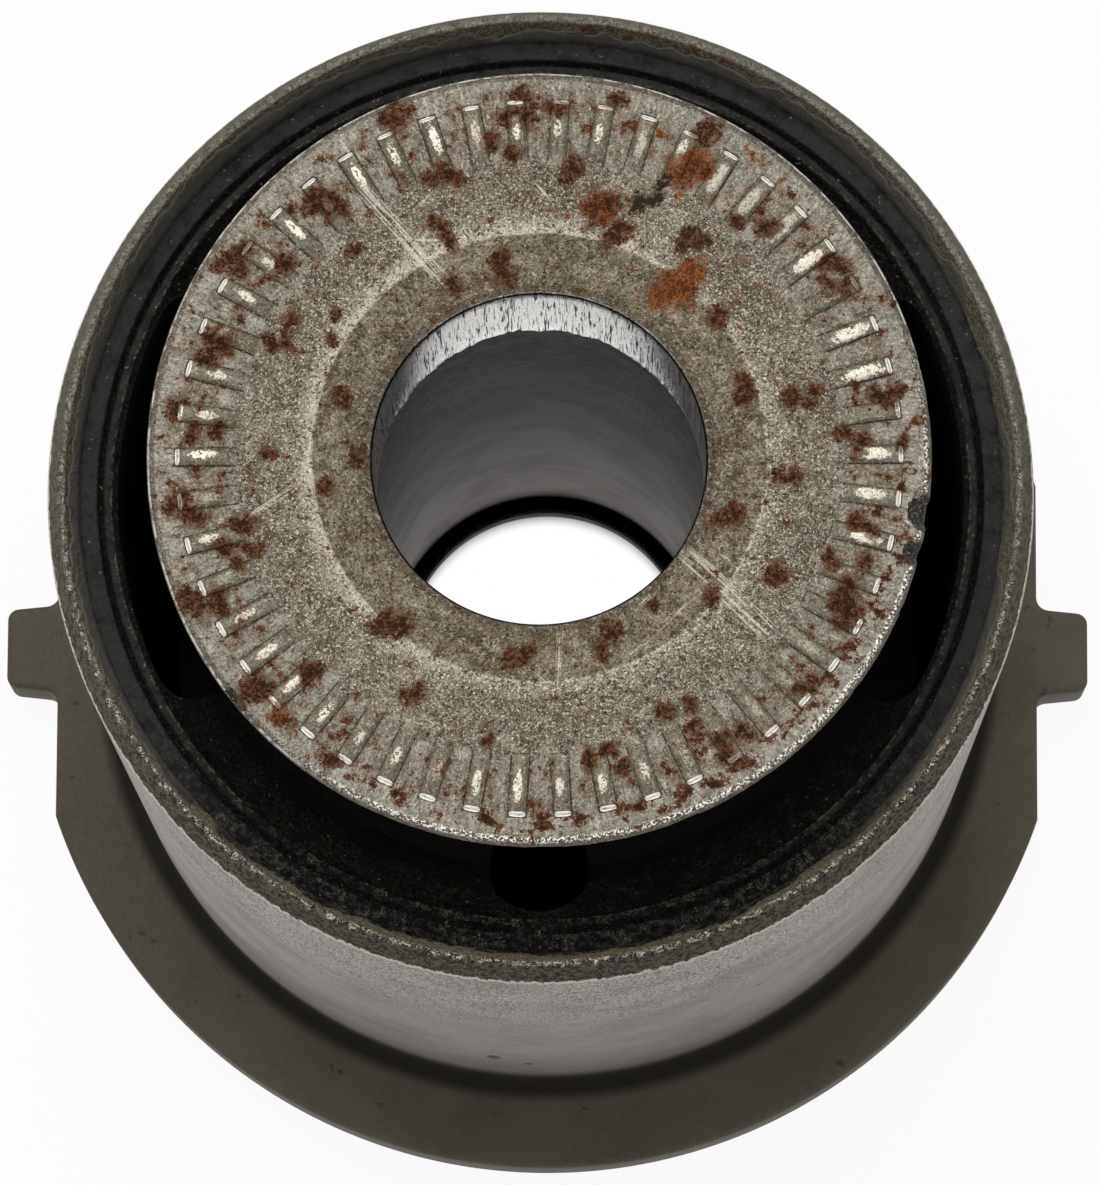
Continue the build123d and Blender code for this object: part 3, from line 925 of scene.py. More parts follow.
def sleeveMaterial(f):
    s = sleeve
    material, where, x, y, z, radius = startMaterial("forged_sleeve_steel")
    angle = calc("ARCTAN2", y, x)
    turns = (angle - s["toothPhase"]) * (s["toothCount"] / (2 * math.pi))
    number = calc("ROUND", turns)
    across = (turns - number) * (2 * math.pi / s["toothCount"]) * radius
    acrossSize = abs(across)
    toothName = calc("FLOORED_MODULO", number, float(s["toothCount"]))
    draw = signal("TexWhiteNoise", {"W": toothName}, "Color", noise_dimensions="1D")
    first, second, third = map(Signal, addNode("SeparateColor", {0: draw}).outputs)
    onHead = stepOver(z, s["landTop"] - 0.15, s["landTop"] + 0.02)

    fine = grain(where, *f["fineGrain"])
    finer = grain(where, *f["finerGrain"])
    medium = grain(where, *f["mediumGrain"])
    broad = grain(where, *f["broadGrain"])
    finest = grain(where, *f["finestGrain"])
    grit = fine * 0.65 + finer * 0.35

    # Ground tone of each zone of the face, from the dish outwards.
    mottling = stepOver(grit * 0.75 + medium * 0.25, 0.41, 0.59)
    nearRing = stepOver(radius + medium * 1.6, *f["besideDish"])
    lightness = mottling * (nearRing * 0.35 + 0.65) + (broad - 0.5) * 0.9
    colour = mixTone(lightness, f["rough"], f["roughLight"])
    smoothZone = stepOver(radius + medium * 1.8, *f["flatRim"])
    valleyLevel = stepOver(grit * 0.65 + medium * 0.35, 0.38, 0.6) + (broad - 0.5)
    colour = mixTone(smoothZone, colour, mixTone(valleyLevel, f["valleyDark"], f["valley"]))
    inDish = stepOver(radius, s["dishRadius"] + 0.02, s["dishRadius"] - 0.2)
    dishLevel = stepOver(grit * 0.65 + medium * 0.35, 0.4, 0.62) + (broad - 0.5)
    dish = mixTone(dishLevel, f["dish"], f["dishLight"])
    dish = mixTone(stepOver(radius, f["dishDark"], boreRadius) * 0.55, dish, f["rough"])
    colour = mixTone(inDish, colour, dish)
    # Burnished ring round the dish, with a painted highlight over it that is brightest towards one side,
    # and a bright line on its ridge that is part burnish, part painted highlight.
    ringSide = facing(angle, f["ringSide"], -0.6, 0.6)
    ringEdge = (stepOver(radius, s["dishRadius"] - 0.2, s["dishRadius"] - 0.08)
                * stepOver(radius + medium * 0.6, s["dishRadius"] + 1.3, s["dishRadius"] + 0.2))
    ringShare = ringEdge * (ringSide * 0.6 + 0.3) * stepOver(medium * 0.5 + grit * 0.5, 0.34, 0.56)
    ringLine = (bandAt(radius, s["dishRadius"] - 0.02, 0.06, 0.05) * stepOver(medium, 0.36, 0.48)
                * stepOver(grit, 0.4, 0.5))
    colour = mixTone(highest(ringShare, ringLine * 0.75), colour, f["ring"])

    # Teeth: darker tops, burnished crests, ends that are part burnish and part painted highlight, and
    # dark creases painted as shade and dirt.
    reach = (stepOver(radius, s["toothInner"] - 0.05, s["toothInner"] + 0.25)
             * stepOver(radius, s["toothOuter"] + 0.03, s["toothOuter"] - 0.03))
    onTooth = stepOver(acrossSize, 0.43, 0.37) * reach
    toothTop = mixTone(mottling * 0.25, f["toothTop"], f["roughLight"])
    colour = mixTone(onTooth * (second * 0.25 + 0.75), colour, toothTop)
    flankCrease = bandAt(acrossSize, 0.45, 0.045, 0.035) * reach
    endCrease = bandAt(radius, s["toothOuter"] + 0.05, 0.035, 0.03) * stepOver(acrossSize, 0.52, 0.44)
    # The inner crease is painted on the -Y side only, as shade that falls there.
    innerCrease = (bandAt(radius, s["toothInner"], 0.03, 0.03) * stepOver(acrossSize, 0.48, 0.42)
                   * stepOver(y, 6.0, -6.0) * stepOver(third, 0.3, 0.6))
    broken = stepOver(medium * 0.6 + fine * 0.3 + third * 0.12, 0.38, 0.52)
    creaseShadeAndDirt = highest(flankCrease, endCrease, innerCrease) * (broken * 0.6 + 0.4)
    colour = mixTone(creaseShadeAndDirt, colour, f["crease"])

    bias = facing(angle, f["brightSide"], 0.5, 1.0)
    patchHalf = first * 0.4 + (bias * 0.22 + 0.42)
    patchMiddle = second * 0.35 + f["burnishRadius"]
    alongShare = (radius - patchMiddle) / patchHalf
    acrossShare = (across + (third - 0.5) * 0.16) / (bias * 0.1 + 0.21)
    patch = alongShare * alongShare + acrossShare * acrossShare
    patch = patch + (fine - 0.5) * 4.0
    patchStrength = bias * 0.06 + 0.03 + third * 0.06
    patchGrain = stepOver(patchStrength + (grit - 0.5), -0.02, 0.05)
    patch = stepOver(patch, 1.05, 0.88) * onTooth * patchGrain
    # Bright bar at the outer end of each tooth, part burnish and part painted highlight.
    dashSquare = across * across * (1 / 0.42 ** 2)
    dashHalf = calc("SQRT", highest(1 - dashSquare * dashSquare, 0.0)) * 0.115
    dashPlace = dashHalf - abs(radius - (s["toothOuter"] - 0.1))
    endBurnishGlint = stepOver(dashPlace, -0.02, 0.02) * stepOver(acrossSize, 0.43, 0.39)
    dullSide = facing(angle, f["dullSide"], 0.88, 0.97)
    crestShine = attribute("crestShine")
    patch = patch * crestShine * (first * 0.3 + 0.75) * (1 - dullSide * 0.65)

    # The rounded edge, painted glints on the knocked-up nicks on it, and a painted highlight line along
    # its outer edge on the +Y and -X sides.
    edgeShare = stepOver(radius, headRadius - 0.46, headRadius - 0.36)
    edgeTone = mixTone(stepOver(grit, 0.36, 0.56), mixTone(0.6, f["edge"], f["pit"]), f["edge"])
    calmSide = facing(angle, f["calmSide"], 0.5, 0.8)
    edgeTone = mixTone(calmSide * 0.9, edgeTone, f["edgeCalm"])
    colour = mixTone(edgeShare, colour, edgeTone)
    nickedSide = facing(angle, f["nickedSide"], 0.1, 0.75)
    beads = grain(where, *f["beadGrain"])
    nickGlints = (bandAt(radius, headRadius - 0.3, 0.13, 0.08) * stepOver(beads, 0.49, 0.56)
             * (nickedSide * 0.9 + 0.1) * onHead)
    edgeHighlight = (bandAt(radius, headRadius - 0.1, 0.04, 0.04) * stepOver(medium, 0.4, 0.55)
                * highest(stepOver(y, 2.0, 8.0), stepOver(x, -9.0, -14.0)) * onHead)
    nickGlints = highest(nickGlints, edgeHighlight * 0.8)

    # Short dashes along the radius between the teeth and on the flat rim.
    dashWay = joined(x / radius * 110.0, y / radius * 110.0, radius * 2.0)
    dashes = grain(dashWay, *f["dashGrain"])
    onPlain = smoothZone * (1 - edgeShare) * (1 - onTooth * 0.5) * onHead
    colour = mixTone(stepOver(dashes, 0.42, 0.35) * onPlain * 0.7, colour, f["pit"])
    colour = mixTone(stepOver(dashes, 0.58, 0.66) * onPlain * 0.55, colour, f["fleck"])

    # Pits and flecks all over the face.
    pits = stepOver(grain(where, *f["pitGrain"]) + (medium - 0.5) * 0.25, 0.422, 0.385)
    colour = mixTone(pits * onHead * (0.92 - smoothZone * 0.4), colour, f["pit"])
    patchy = stepOver(medium, 0.38, 0.62) * 0.7 + 0.3
    pointShare = patchy * onHead * (1 - highest(smoothZone, edgeShare) * 0.75) * (1 - inDish * 0.6)
    darkPoints = stepOver(finest, 0.43, 0.36) * pointShare * 0.6
    lightPoints = stepOver(finest, 0.57, 0.65) * pointShare * 0.5
    colour = mixTone(darkPoints, colour, f["pit"])
    colour = mixTone(lightPoints, colour, f["fleck"])
    flecks = (stepOver(grain(where, *f["fleckGrain"]), 0.585, 0.62) * onHead
              * (nearRing * (1 - inDish) * 0.3 + 0.6) * (1 - inDish * 0.45) * (1 - smoothZone * 0.5))
    colour = mixTone(flecks, colour, f["fleck"])
    dishSpecks = stepOver(grain(where, *f["dishSpeckGrain"]), 0.6, 0.65) * inDish * onHead * 0.75
    colour = mixTone(dishSpecks, colour, f["stainDark"])
    scratched = highest(*[scratchShare(x, y, *scratch) for scratch in scratches]) * onHead
    fibres = []
    for heading, shift in f["fibreHeadings"]:
        turned = signal("VectorRotate", {"Vector": where, "Angle": heading}, rotation_type="Z_AXIS")
        drawnOut = grain(stretched(turned, 0.8, 9.0, 0), 1.0, 2.0, 0.6, shift)
        fibres.append(stepOver(drawnOut, 0.62, 0.68))
    hatch = highest(*fibres) * stepOver(medium, 0.46, 0.56) * onHead * (1 - smoothZone * 0.5)
    colour = mixTone(hatch * 0.7, colour, f["hatch"])
    burnished = highest(patch, scratched * 0.65)
    colour = mixTone(burnished, colour, f["burnish"])
    glints = highest(endBurnishGlint, nickGlints)
    colour = mixTone(glints, colour, f["glint"])
    burnished = highest(burnished, glints)
    chip = attribute("chip")
    chipTone = mixTone(stepOver(beads, 0.52, 0.7), f["chipDark"], f["chipLight"])
    colour = mixTone(stepOver(chip, 0.1, 0.5), colour, chipTone)

    # Rust: a brown stain, then red crumbs with a dark core, in the blotches and as stray specks.
    rustHere = attribute("rust")
    warmth = attribute("rustWarmth")
    crumbs = grain(where, *f["crumbGrain"]) * 0.75 + finer * 0.25
    spread = (crumbs - 0.495) * 4.3
    level = rustHere + spread - 0.5
    level = level * stepOver(rustHere, 0.03, 0.2)
    byTeeth = bandAt(radius, f["toothRustRadius"], 1.6, 0.8) * stepOver(acrossSize, 0.3, 0.44)
    strayNoise = grain(where, *f["strayGrain"])
    stray = strayNoise + byTeeth * 0.045 - 0.617
    tinyNoise = grain(where, *f["tinyGrain"])
    tiny = tinyNoise + byTeeth * 0.02 - 0.668
    rimRust = bandAt(radius, f["rimRustRadius"], 0.5, 0.3) * nickedSide
    stray = stray + rimRust * 0.08
    level = highest(level, stray * 5.5, tiny * 7.0)
    stainLevel = rustHere * 0.38 + byTeeth * 0.12
    stainLevel = stainLevel + strayNoise + (grit - 0.5) * 1.1
    stain = stepOver(stainLevel, 0.57, 0.72) * 0.7 * onHead
    colour = mixTone(stain, colour, f["stain"])
    rustShare = stepOver(level, 0.0, 0.14) * onHead * (1 - chip) * (1 - endBurnishGlint * 0.9) * (1 - patch * 0.6)
    hot = stepOver(warmth * 0.9 + (medium - 0.5) * 1.6, 0.45, 1.0)
    edgeRust = mixTone(hot, f["rustRed"], f["rustWarm"])
    coreRust = mixTone(hot * 0.75, f["rustDark"], f["rustRed"])
    depth = level + (finer - 0.5) * 1.4
    rustTone = mixTone(stepOver(depth, 0.12, 0.62), edgeRust, coreRust)
    rustTone = mixTone(stepOver(warmth, 0.14, 0.04), rustTone, f["rustBlack"])
    colour = mixTone(rustShare * 0.93, colour, rustTone)

    # Bore: the pierced land has streaks along the axis, and the cored bore below it is plain.
    inLand = (stepOver(radius, boreRadius + 0.16, boreRadius + 0.08)
              * stepOver(z, s["landBottom"] - 1.2, s["landBottom"] - 1.1))
    streak = grain(stretched(where, 5.5, 5.5, 0.2), *f["streakGrain"])
    fineStreak = grain(stretched(where, 12.0, 12.0, 0.45), *f["fineStreakGrain"])
    streaks = streak * 0.55 + fineStreak * 0.45
    # Painted shade darkens the land on its -Y side and towards -X.
    landShadeSide = stepOver(y - abs(x) * 0.7 + x * 0.15, 1.8, -1.5)
    landTone = mixTone(stepOver(streaks - landShadeSide * 0.025, 0.43, 0.48), f["landDark"], f["landLight"])
    mouth = stepOver(z + grain(where, *f["mouthGrain"]) * 2.6, s["landTop"] + 0.5, s["landTop"] + 1.2)
    landTone = mixTone(mouth * 0.7, landTone, f["landDark"])
    landTone = mixTone(landShadeSide * (0.45 - x * 0.02), landTone, f["landDark"])
    landTone = mixTone(stepOver(fineStreak, 0.38, 0.3) * 0.8, landTone, f["pit"])
    colour = mixTone(inLand, colour, landTone)
    below = (1 - inLand) * stepOver(z, s["landTop"] - 0.3, s["landTop"] - 0.5)
    plain = mixTone(stepOver(broad, 0.35, 0.65), f["coredBore"], mixTone(0.5, f["coredBore"], f["rough"]))
    inCore = stepOver(radius, s["coredRadius"] + 1.5, s["coredRadius"] + 1.0)
    rusty = stepOver(medium, 0.5, 0.62) * stepOver(z, 30.0, 50.0) * inCore
    plain = mixTone(rusty * 0.7, plain, f["stain"])
    plain = mixTone(stepOver(finer, 0.34, 0.28) * inCore * 0.5, plain, f["pit"])
    colour = mixTone(below * stepOver(radius, headRadius - 1.3, headRadius - 2), colour, plain)

    metallic = highest(burnished * 0.6, inLand) * 0.4 + 0.6
    metallic = metallic * (1 - rustShare)
    shine = highest(burnished * 0.08, chip * 0.2, inLand * stepOver(streaks, 0.36, 0.5) * 0.4)
    roughness = 0.56 - shine
    roughness = highest(roughness, rustShare * 0.9)
    # The bump works its height out three times, so few nodes go into it.
    calm = highest(onTooth * 0.6, stepOver(radius, boreRadius + 0.5, boreRadius + 0.2))
    crusted = stepOver(rustHere, 0.25, 0.6) * finer * 0.8
    height = fine * 0.8 + finer * 0.7
    height = height * (1 - calm * 0.85) + crusted
    finishMaterial(colour, metallic, roughness, height, depth=0.11, specular=0.15)
    return material


rubberFinish = {
    "black": tone(12, 12, 11),
    "sheen": tone(60, 60, 59),
    "oily": tone(52, 50, 46),
    # lighter painted sheen of the rubber film up the rim's taper
    "film": tone(118, 115, 107),
    "dust": tone(128, 120, 100),
    # painted highlight on the greasy rubber
    "grease": tone(128, 120, 102),
    # Grains: cycles for each unit of the place, octaves, roughness, shift of the pattern.
    "fineGrain": (5.0, 3.0, 0.7),
    "finestGrain": (12.0, 1.0, 0.6, 7.0),
    "coarseGrain": (0.9, 3.0, 0.65, 4.0),
    "clotGrain": (3.0, 4.0, 0.8, 11.0),
    "speckGrain": (3.8, 1.0, 0.5, 19.0),
}


def rubberMaterial(f):
    material, where, x, y, z, radius = startMaterial("moulded_black_rubber")
    fine = grain(where, *f["fineGrain"])
    finest = grain(where, *f["finestGrain"])
    coarse = grain(where, *f["coarseGrain"])
    grit = fine * 0.65 + finest * 0.35
    away = stepOver(calc("SINE", calc("ARCTAN2", y, x)), -0.9, -0.4)

    # Flat seat and lip: a painted sheen makes them evenly grey but for the -Y side, where they are black
    # with painted highlight points; the film up the rim takes a lighter painted sheen.
    seat = (stepOver(radius, rubberRadius - 1.0, rubberRadius - 0.85)
            * stepOver(z, rubberTop - 0.3, rubberTop - 0.1))
    lipOuter = rubberRadius - rubber["seatWidth"] - rubber["grooveWidth"]
    lip = bandAt(radius, lipOuter - 0.25, 0.24, 0.12)
    clots = grain(where, *f["clotGrain"])
    lumps = stepOver(coarse * 0.2 + clots * 0.8, 0.47, 0.56)
    even = away * (stepOver(coarse, 0.3, 0.6) * 0.5 + 0.42)
    flat = even + lumps * (0.72 - away * 0.42)
    film = stepOver(radius, rubberRadius - 0.05, rubberRadius + 0.15)
    flat = flat + film * away * 0.3
    sheen = mixTone(film, f["sheen"], f["film"])
    colour = mixTone(highest(seat, lip * 0.8) * flat, f["black"], sheen)

    # Slope and neck: faint grit with a painted sheen in the open part, with dust specks.
    openPart = stepOver(z, rubberTop - 4.4, rubberTop - 2) * (1 - highest(seat, lip))
    colour = mixTone(openPart * stepOver(grit, 0.48, 0.62) * 0.9, colour, f["oily"])
    specks = stepOver(grain(where, *f["speckGrain"]), 0.72, 0.75)
    specks = specks * stepOver(z, rubberTop - 4, rubberTop - 1)
    colour = mixTone(specks, colour, f["dust"])
    # Painted highlight points on the -Y side's upper rubber, and a painted highlight line on the lip's
    # inner edge.
    greasyHighlightArea = (1 - away) * stepOver(z, rubberTop - 4.0, rubberTop - 2.5) * stepOver(coarse, 0.4, 0.62)
    points = clots * 0.5 + finest * 0.5
    greasyHighlights = stepOver(points, 0.55, 0.6) * greasyHighlightArea * (highest(seat, lip) * 0.45 + 0.55)
    colour = mixTone(greasyHighlights, colour, f["grease"])
    lipEdge = lipOuter - rubber["lipWidth"] + 0.08
    lipHighlight = (bandAt(radius, lipEdge, 0.05, 0.04) * stepOver(z, rubberTop - 0.35, rubberTop - 0.15)
               * stepOver(clots, 0.47, 0.56) * stepOver(coarse, 0.36, 0.56) * 0.75)
    colour = mixTone(lipHighlight, colour, f["grease"])
    roughness = coarse * 0.3 + 0.4
    height = fine * 0.6 + coarse * 1.2
    finishMaterial(colour, 0.0, roughness, height, depth=0.3, specular=0.1)
    return material


canFinish = {
    "wall": tone(190, 183, 177),
    "wallDark": tone(100, 94, 90),
    "sandDark": tone(80, 74, 70),
    "sandLight": tone(208, 201, 194),
    "wallSpot": tone(52, 46, 42),
    "nose": tone(41, 36, 32),
    "noseWorn": tone(104, 96, 86),
    "noseFar": tone(80, 78, 68),
    "noseFarWorn": tone(110, 106, 95),
    "crownFar": tone(134, 131, 121),
    "glint": tone(232, 226, 210),
    # painted glint on the golden specks inside the rim
    "gold": tone(190, 172, 128),
    "grime": tone(98, 90, 73),
    "grimeLight": tone(182, 172, 147),
    "rust": tone(108, 58, 34),
    "phosphate": tone(90, 85, 74),
    "phosphateDark": tone(74, 69, 60),
    # painted shade of the fillet, also the colour of the flange's dark blots
    "fillet": tone(36, 34, 30),
    "sandy": (54.0, 26.0),              # heights where the wall is all sandy, and where it is smooth
    "footShade": (26.0, 6.0),           # heights where the wall starts to darken, and is darkest
    "flangeShade": (-12.0, -28.0),      # the same along X, for the flange
    "flakeSide": math.radians(80),      # direction of the rust flakes inside the rim
    # Grains: cycles for each unit of the place, octaves, roughness, shift of the pattern.
    "fineGrain": (5.0, 3.0, 0.65),
    "finestGrain": (13.0, 1.0, 0.6, 37.0),
    "mediumGrain": (1.2, 4.0, 0.65, 3.0),
    "broadGrain": (0.16, 3.0, 0.6, 6.0),
    "sandGrain": (1.0, 4.0, 0.8, 21.0),
    "tornGrain": (1.0, 4.0, 0.75, 15.0),
    "clotGrain": (2.8, 4.0, 0.8, 11.0),
    "flakeGrain": (1.6, 4.0, 0.7, 29.0),
    "blotGrain": (0.7, 3.0, 0.6, 12.0),
}
# Dark spots on the ground wall: angle in degrees, height and radius in millimetres, and how far each
# is drawn out along the axis.
wallSpots = (
    (-96.4, 16.5, 0.42, 2.5), (-92.0, 14.0, 0.25, 2.0), (-109, 38.0, 0.2, 1.5),
    (-62, 30.0, 0.2, 1.2), (140, 25.0, 0.35, 1.2), (35, 18.0, 0.3, 1.1),
)


def canMaterial(f):
    s = can
    material, where, x, y, z, radius = startMaterial("flanged_can_steel")
    angle = calc("ARCTAN2", y, x)
    fine = grain(where, *f["fineGrain"])
    finest = grain(where, *f["finestGrain"])
    medium = grain(where, *f["mediumGrain"])
    broad = grain(where, *f["broadGrain"])

    # Ground wall: sandy near the top, smoother lower down, with painted shade that darkens it towards the
    # foot, and lighter towards ±X.
    lowness = stepOver(z, *f["sandy"])
    sand = grain(stretched(where, 7.2, 7.2, 3.2), *f["sandGrain"])
    sandy = stepOver(sand, 0.4, 0.56)
    gritShare = (1 - lowness) * 0.86 + 0.1
    turned = stepOver(abs(calc("COSINE", angle)), 0.3, 0.8)
    evenShare = turned * 0.22 + 0.48 - stepOver(z, *f["footShade"]) * 0.42
    evenTone = mixTone(evenShare, f["wallDark"], f["wall"])
    sandyTone = mixTone(sandy + turned * 0.1, f["sandDark"], f["sandLight"])
    wall = mixTone(gritShare, evenTone, sandyTone)
    wall = mixTone(stepOver(medium, 0.5, 0.75) * 0.3, wall, f["wallDark"])
    wall = mixTone(stepOver(broad, 0.4, 0.7) * 0.35, wall, f["wallDark"])
    for degrees, height, size, drawn in wallSpots:
        spotX = canRadius * math.cos(math.radians(degrees))
        spotY = canRadius * math.sin(math.radians(degrees))
        fromSpot = signal("VectorMath", {0: where, 1: (spotX, spotY, height)}, operation="SUBTRACT")
        flattened = stretched(fromSpot, 1, 1, 1 / drawn)
        apart = signal("VectorMath", {0: flattened}, output="Value", operation="LENGTH")
        apart = apart + (fine - 0.5) * 0.4
        wall = mixTone(stepOver(apart, size * 1.3, size * 0.6) * 0.85, wall, f["wallSpot"])

    # Tapered nose: a gritty outer taper, darkest at -Y; a torn painted highlight line along the crown,
    # brightest at -Y; and grime inside it with golden specks that carry painted glints on the -Y side.
    sine = calc("SINE", angle)
    farSide = stepOver(sine, -0.75, 0.6)
    nearSide = stepOver(sine, -0.1, -0.75)
    grit = fine * 0.6 + finest * 0.4
    tornWay = joined(x * 2.2, y * 2.2, 0.0)
    torn = grain(tornWay, *f["tornGrain"]) - 0.5
    clots = grain(where, *f["clotGrain"])
    noseLevel = stepOver(grit * 0.3 + clots * 0.7, 0.44, 0.57)
    nose = mixTone(noseLevel, mixTone(farSide, f["nose"], f["noseFar"]),
                   mixTone(farSide, f["noseWorn"], f["noseFarWorn"]))
    crownMiddle = (rimOuterCrown + rimInnerCrown) / 2
    crownPlace = radius + torn * 1.2
    crownTone = (farSide * stepOver(crownPlace, crownMiddle + 0.3, crownMiddle + 0.05)
                 * stepOver(grit, 0.4, 0.55))
    nose = mixTone(crownTone * 0.7, nose, f["crownFar"])
    inside = stepOver(crownPlace, rimInnerCrown + 0.12, rimInnerCrown - 0.1)
    grimeTone = mixTone(stepOver(grit, 0.44, 0.6), f["grime"], f["grimeLight"])
    nose = mixTone(inside * (nearSide * 0.3 + 0.6), nose, grimeTone)
    points = finest * 0.55 + fine * 0.45
    goldSpeckGlints = (stepOver(points, 0.56, 0.62) * stepOver(medium, 0.44, 0.54)
                  * stepOver(crownPlace, crownMiddle + 0.2, crownMiddle - 0.1) * nearSide)
    nose = mixTone(goldSpeckGlints, nose, f["gold"])
    pale = stepOver(finest, 0.57, 0.65) * (0.5 - farSide * 0.2)
    nose = mixTone(pale, nose, f["crownFar"])
    back = facing(angle, f["flakeSide"], 0.94, 0.985)
    flakes = back * inside * stepOver(grain(where, *f["flakeGrain"]), 0.5, 0.56)
    nose = mixTone(flakes * 0.7, nose, f["rust"])
    crownHighlight = (bandAt(crownPlace, crownMiddle - 0.02, 0.06, 0.05) * stepOver(points, 0.47, 0.56)
            * stepOver(medium, 0.4, 0.52) * (1 - farSide * 0.75))
    nose = mixTone(crownHighlight, nose, f["glint"])
    bright = highest(goldSpeckGlints, crownHighlight)

    # The wall's top corner is torn too, and shows bare metal with a painted highlight along it.
    tornEdge = z + torn * 1.1
    onNose = stepOver(tornEdge, s["wallTop"] + 0.06, s["wallTop"] + 0.14)
    inBore = stepOver(radius, canRadius - 0.6, canRadius - 0.9)
    onNose = highest(onNose, inBore)
    cornerHighlight = (bandAt(tornEdge, s["wallTop"] + 0.14, 0.14, 0.07)
                  * stepOver(radius, canRadius - 0.3, canRadius - 0.15) * stepOver(medium, 0.3, 0.42))
    colour = mixTone(onNose, wall, nose)
    colour = mixTone(cornerHighlight * 0.95, colour, f["glint"])

    # Flange: dark phosphate with faint blotches, lighter at its edge, with painted shade darkening it
    # towards -X and most of all in the fillet.
    flange = mixTone(stepOver(broad, 0.3, 0.8), f["phosphate"], f["phosphateDark"])
    flange = mixTone(stepOver(x, *f["flangeShade"]) * 0.8, flange, f["phosphateDark"])
    flange = mixTone(stepOver(fine, 0.3, 0.7) * 0.3, flange, f["noseWorn"])
    blots = stepOver(grain(where, *f["blotGrain"]), 0.66, 0.74) * 0.6
    flange = mixTone(blots, flange, f["fillet"])
    filletTop, filletFoot = s["flangeThickness"] + s["flangeFillet"], canRadius + s["flangeFillet"]
    inFillet = (stepOver(radius, filletFoot + 0.1, filletFoot - 0.9)
                * stepOver(z, s["flangeThickness"] - 0.1, s["flangeThickness"]))
    flange = mixTone(inFillet, flange, f["fillet"])
    filletEdge = z + (broad - 0.5) * 0.6
    onFlange = stepOver(filletEdge, filletTop + 3.5, filletTop - 0.8)
    colour = mixTone(onFlange, colour, flange)

    bare = highest((1 - onNose) * (1 - onFlange), bright * onNose, cornerHighlight)
    metallic = (bare * 0.75 + 0.25) * (1 - inFillet)
    roughness = inFillet * 0.3 + 0.62 - bare * 0.2
    # The bump works its height out three times, so few nodes go into it.
    rough = stepOver(z, s["wallTop"] + 0.06, s["wallTop"] + 0.14)
    height = fine * 0.7 + medium * (rough * 2.0)
    height = height * (rough * 0.6 + 0.4)
    finishMaterial(colour, metallic, roughness, height, depth=0.1, specular=0.15)
    return material


studio = {
    "lens": 218.73,
    "sensor": 36.0,
    "tilt": math.radians(8.911),        # of the line of sight from the vertical
    "turn": math.radians(2.41),
    "roll": math.radians(2.158),
    "aside": -0.543,                    # the head's centre in the camera's own axes, in millimetres
    "above": 6.728,
    "away": 354.24,
    "worldLight": 0.46,
    "floorSize": 6.0,
    "floorDrop": 0.02,                  # keeps the floor clear of the foot, in millimetres
    "floorWhite": 0.93,
    "floorShade": 0.1,                  # of the floor that only the hollows of the part look at
    "floorGlow": 0.93,
    # Area lights: name, place and aim in metres, width, power.
    "lights": (("overhead_softbox", (-0.12, 0.35, 0.95), (0, 0, 0.05), 0.6, 4.6),
               ("side_softbox", (-0.75, -0.15, 0.55), (0, 0, 0.04), 0.5, 0.18)),
}


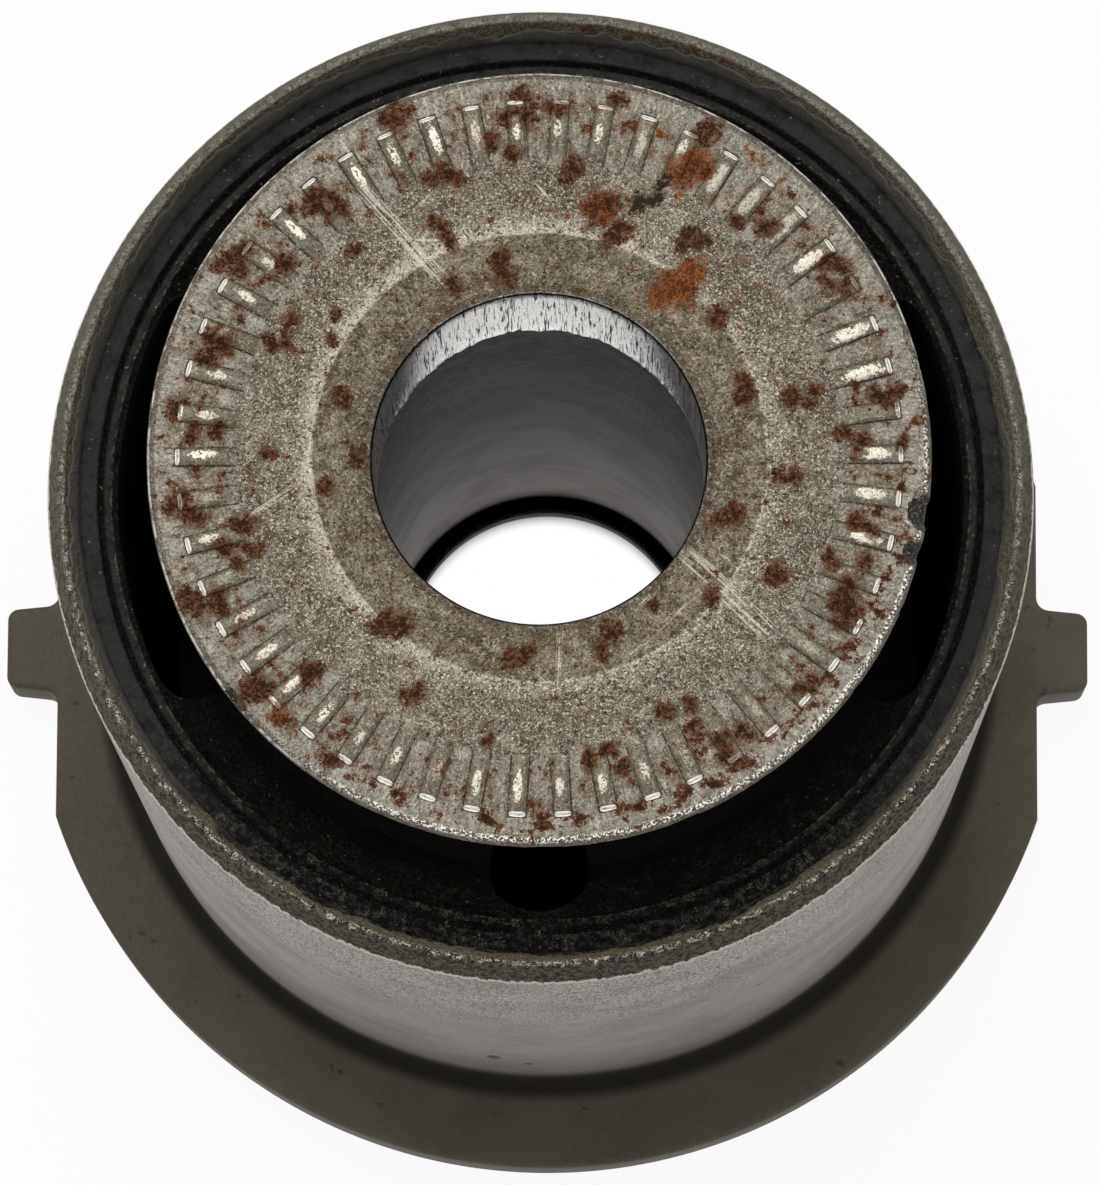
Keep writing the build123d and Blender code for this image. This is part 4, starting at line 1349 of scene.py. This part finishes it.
def buildStudio(s):
    scene = bpy.context.scene
    tilt, turn, roll = s["tilt"], s["turn"], s["roll"]
    flatX = Vector((math.cos(turn), math.sin(turn), 0))
    flatY = Vector((-math.sin(turn) * math.cos(tilt), math.cos(turn) * math.cos(tilt), math.sin(tilt)))
    forward = Vector((-math.sin(turn) * math.sin(tilt), math.cos(turn) * math.sin(tilt), -math.cos(tilt)))
    right = flatX * math.cos(roll) - flatY * math.sin(roll)
    up = flatX * math.sin(roll) + flatY * math.cos(roll)
    headCentre = Vector((0, 0, sleeve["faceHeight"]))
    stand = headCentre - right * s["aside"] - up * s["above"] - forward * s["away"]
    data = bpy.data.cameras.new("camera")
    data.lens, data.sensor_width, data.sensor_fit = s["lens"], s["sensor"], "AUTO"
    data.clip_start, data.clip_end = 0.01, 20
    camera = bpy.data.objects.new("camera", data)
    axes = Matrix((right, up, -forward)).transposed().to_4x4()
    camera.matrix_world = Matrix.Translation(stand * mm) @ axes
    scene.collection.objects.link(camera)
    scene.camera = camera

    for name, place, aim, width, power in s["lights"]:
        light = bpy.data.lights.new(name, "AREA")
        light.shape, light.size, light.energy = "DISK", width, power
        lamp = bpy.data.objects.new(name, light)
        lamp.location = place
        lamp.rotation_euler = (Vector(aim) - Vector(place)).to_track_quat("-Z", "Y").to_euler()
        scene.collection.objects.link(lamp)

    world = bpy.data.worlds.new("white_room")
    emptyTree(world)
    room = signal("Background", {"Color": (1, 1, 1, 1), "Strength": s["worldLight"]})
    backdrop = signal("Background", {"Color": (1, 1, 1, 1), "Strength": 1.0})
    addNode("OutputWorld", {0: signal("MixShader", {0: seenDirectly(), 1: room, 2: backdrop})})
    scene.world = world
    scene.view_settings.view_transform = "Standard"

    half, low = s["floorSize"] / 2, -s["floorDrop"] * mm
    mesh = bpy.data.meshes.new("floor")
    corners = [(-half, -half, low), (half, -half, low), (half, half, low), (-half, half, low)]
    mesh.from_pydata(corners, [], [(0, 1, 2, 3)])
    floor = bpy.data.objects.new("floor", mesh)
    scene.collection.objects.link(floor)
    material = bpy.data.materials.new("white_floor")
    emptyTree(material)
    white, dark = s["floorWhite"], s["floorShade"]
    glow = signal("Emission", {"Color": (1, 1, 1, 1), "Strength": 1.0})
    place = signal("TexCoord", output="Object")
    fromAxis = signal("VectorMath", {0: place}, "Value", operation="LENGTH")
    # Under the part the floor is painted dark as its shadow, and across the bore's edge it fades back to
    # white as a painted penumbra.
    openFloor = stepOver(fromAxis, canRadius * 0.9 * mm, canRadius * mm)
    inBore = stepOver(fromAxis, (boreRadius + 0.8) * mm, (boreRadius - 0.4) * mm)
    shade = mixTone(highest(openFloor, inBore), (dark, dark, dark, 1), (white, white, white, 1))
    paint = signal("BsdfDiffuse", {"Color": shade})
    share = seenDirectly() * highest(openFloor * s["floorGlow"], inBore)
    addNode("OutputMaterial", {0: signal("MixShader", {0: share, 1: paint, 2: glow})})
    mesh.materials.append(material)


# 1 for what the camera sees, also in a mirror or through glass.
def seenDirectly():
    path = addNode("LightPath")
    rays = ("Is Camera Ray", "Is Glossy Ray", "Is Transmission Ray")
    return highest(*[Signal(path.outputs[ray]) for ray in rays])


buildSleeve(sleeve).data.materials.append(sleeveMaterial(sleeveFinish))
print("sleeve made")
buildRubber(rubber).data.materials.append(rubberMaterial(rubberFinish))
print("rubber made")
buildCan(can).data.materials.append(canMaterial(canFinish))
print("can made")
buildStudio(studio)
print("studio ready")

bpy.context.view_layer.update()
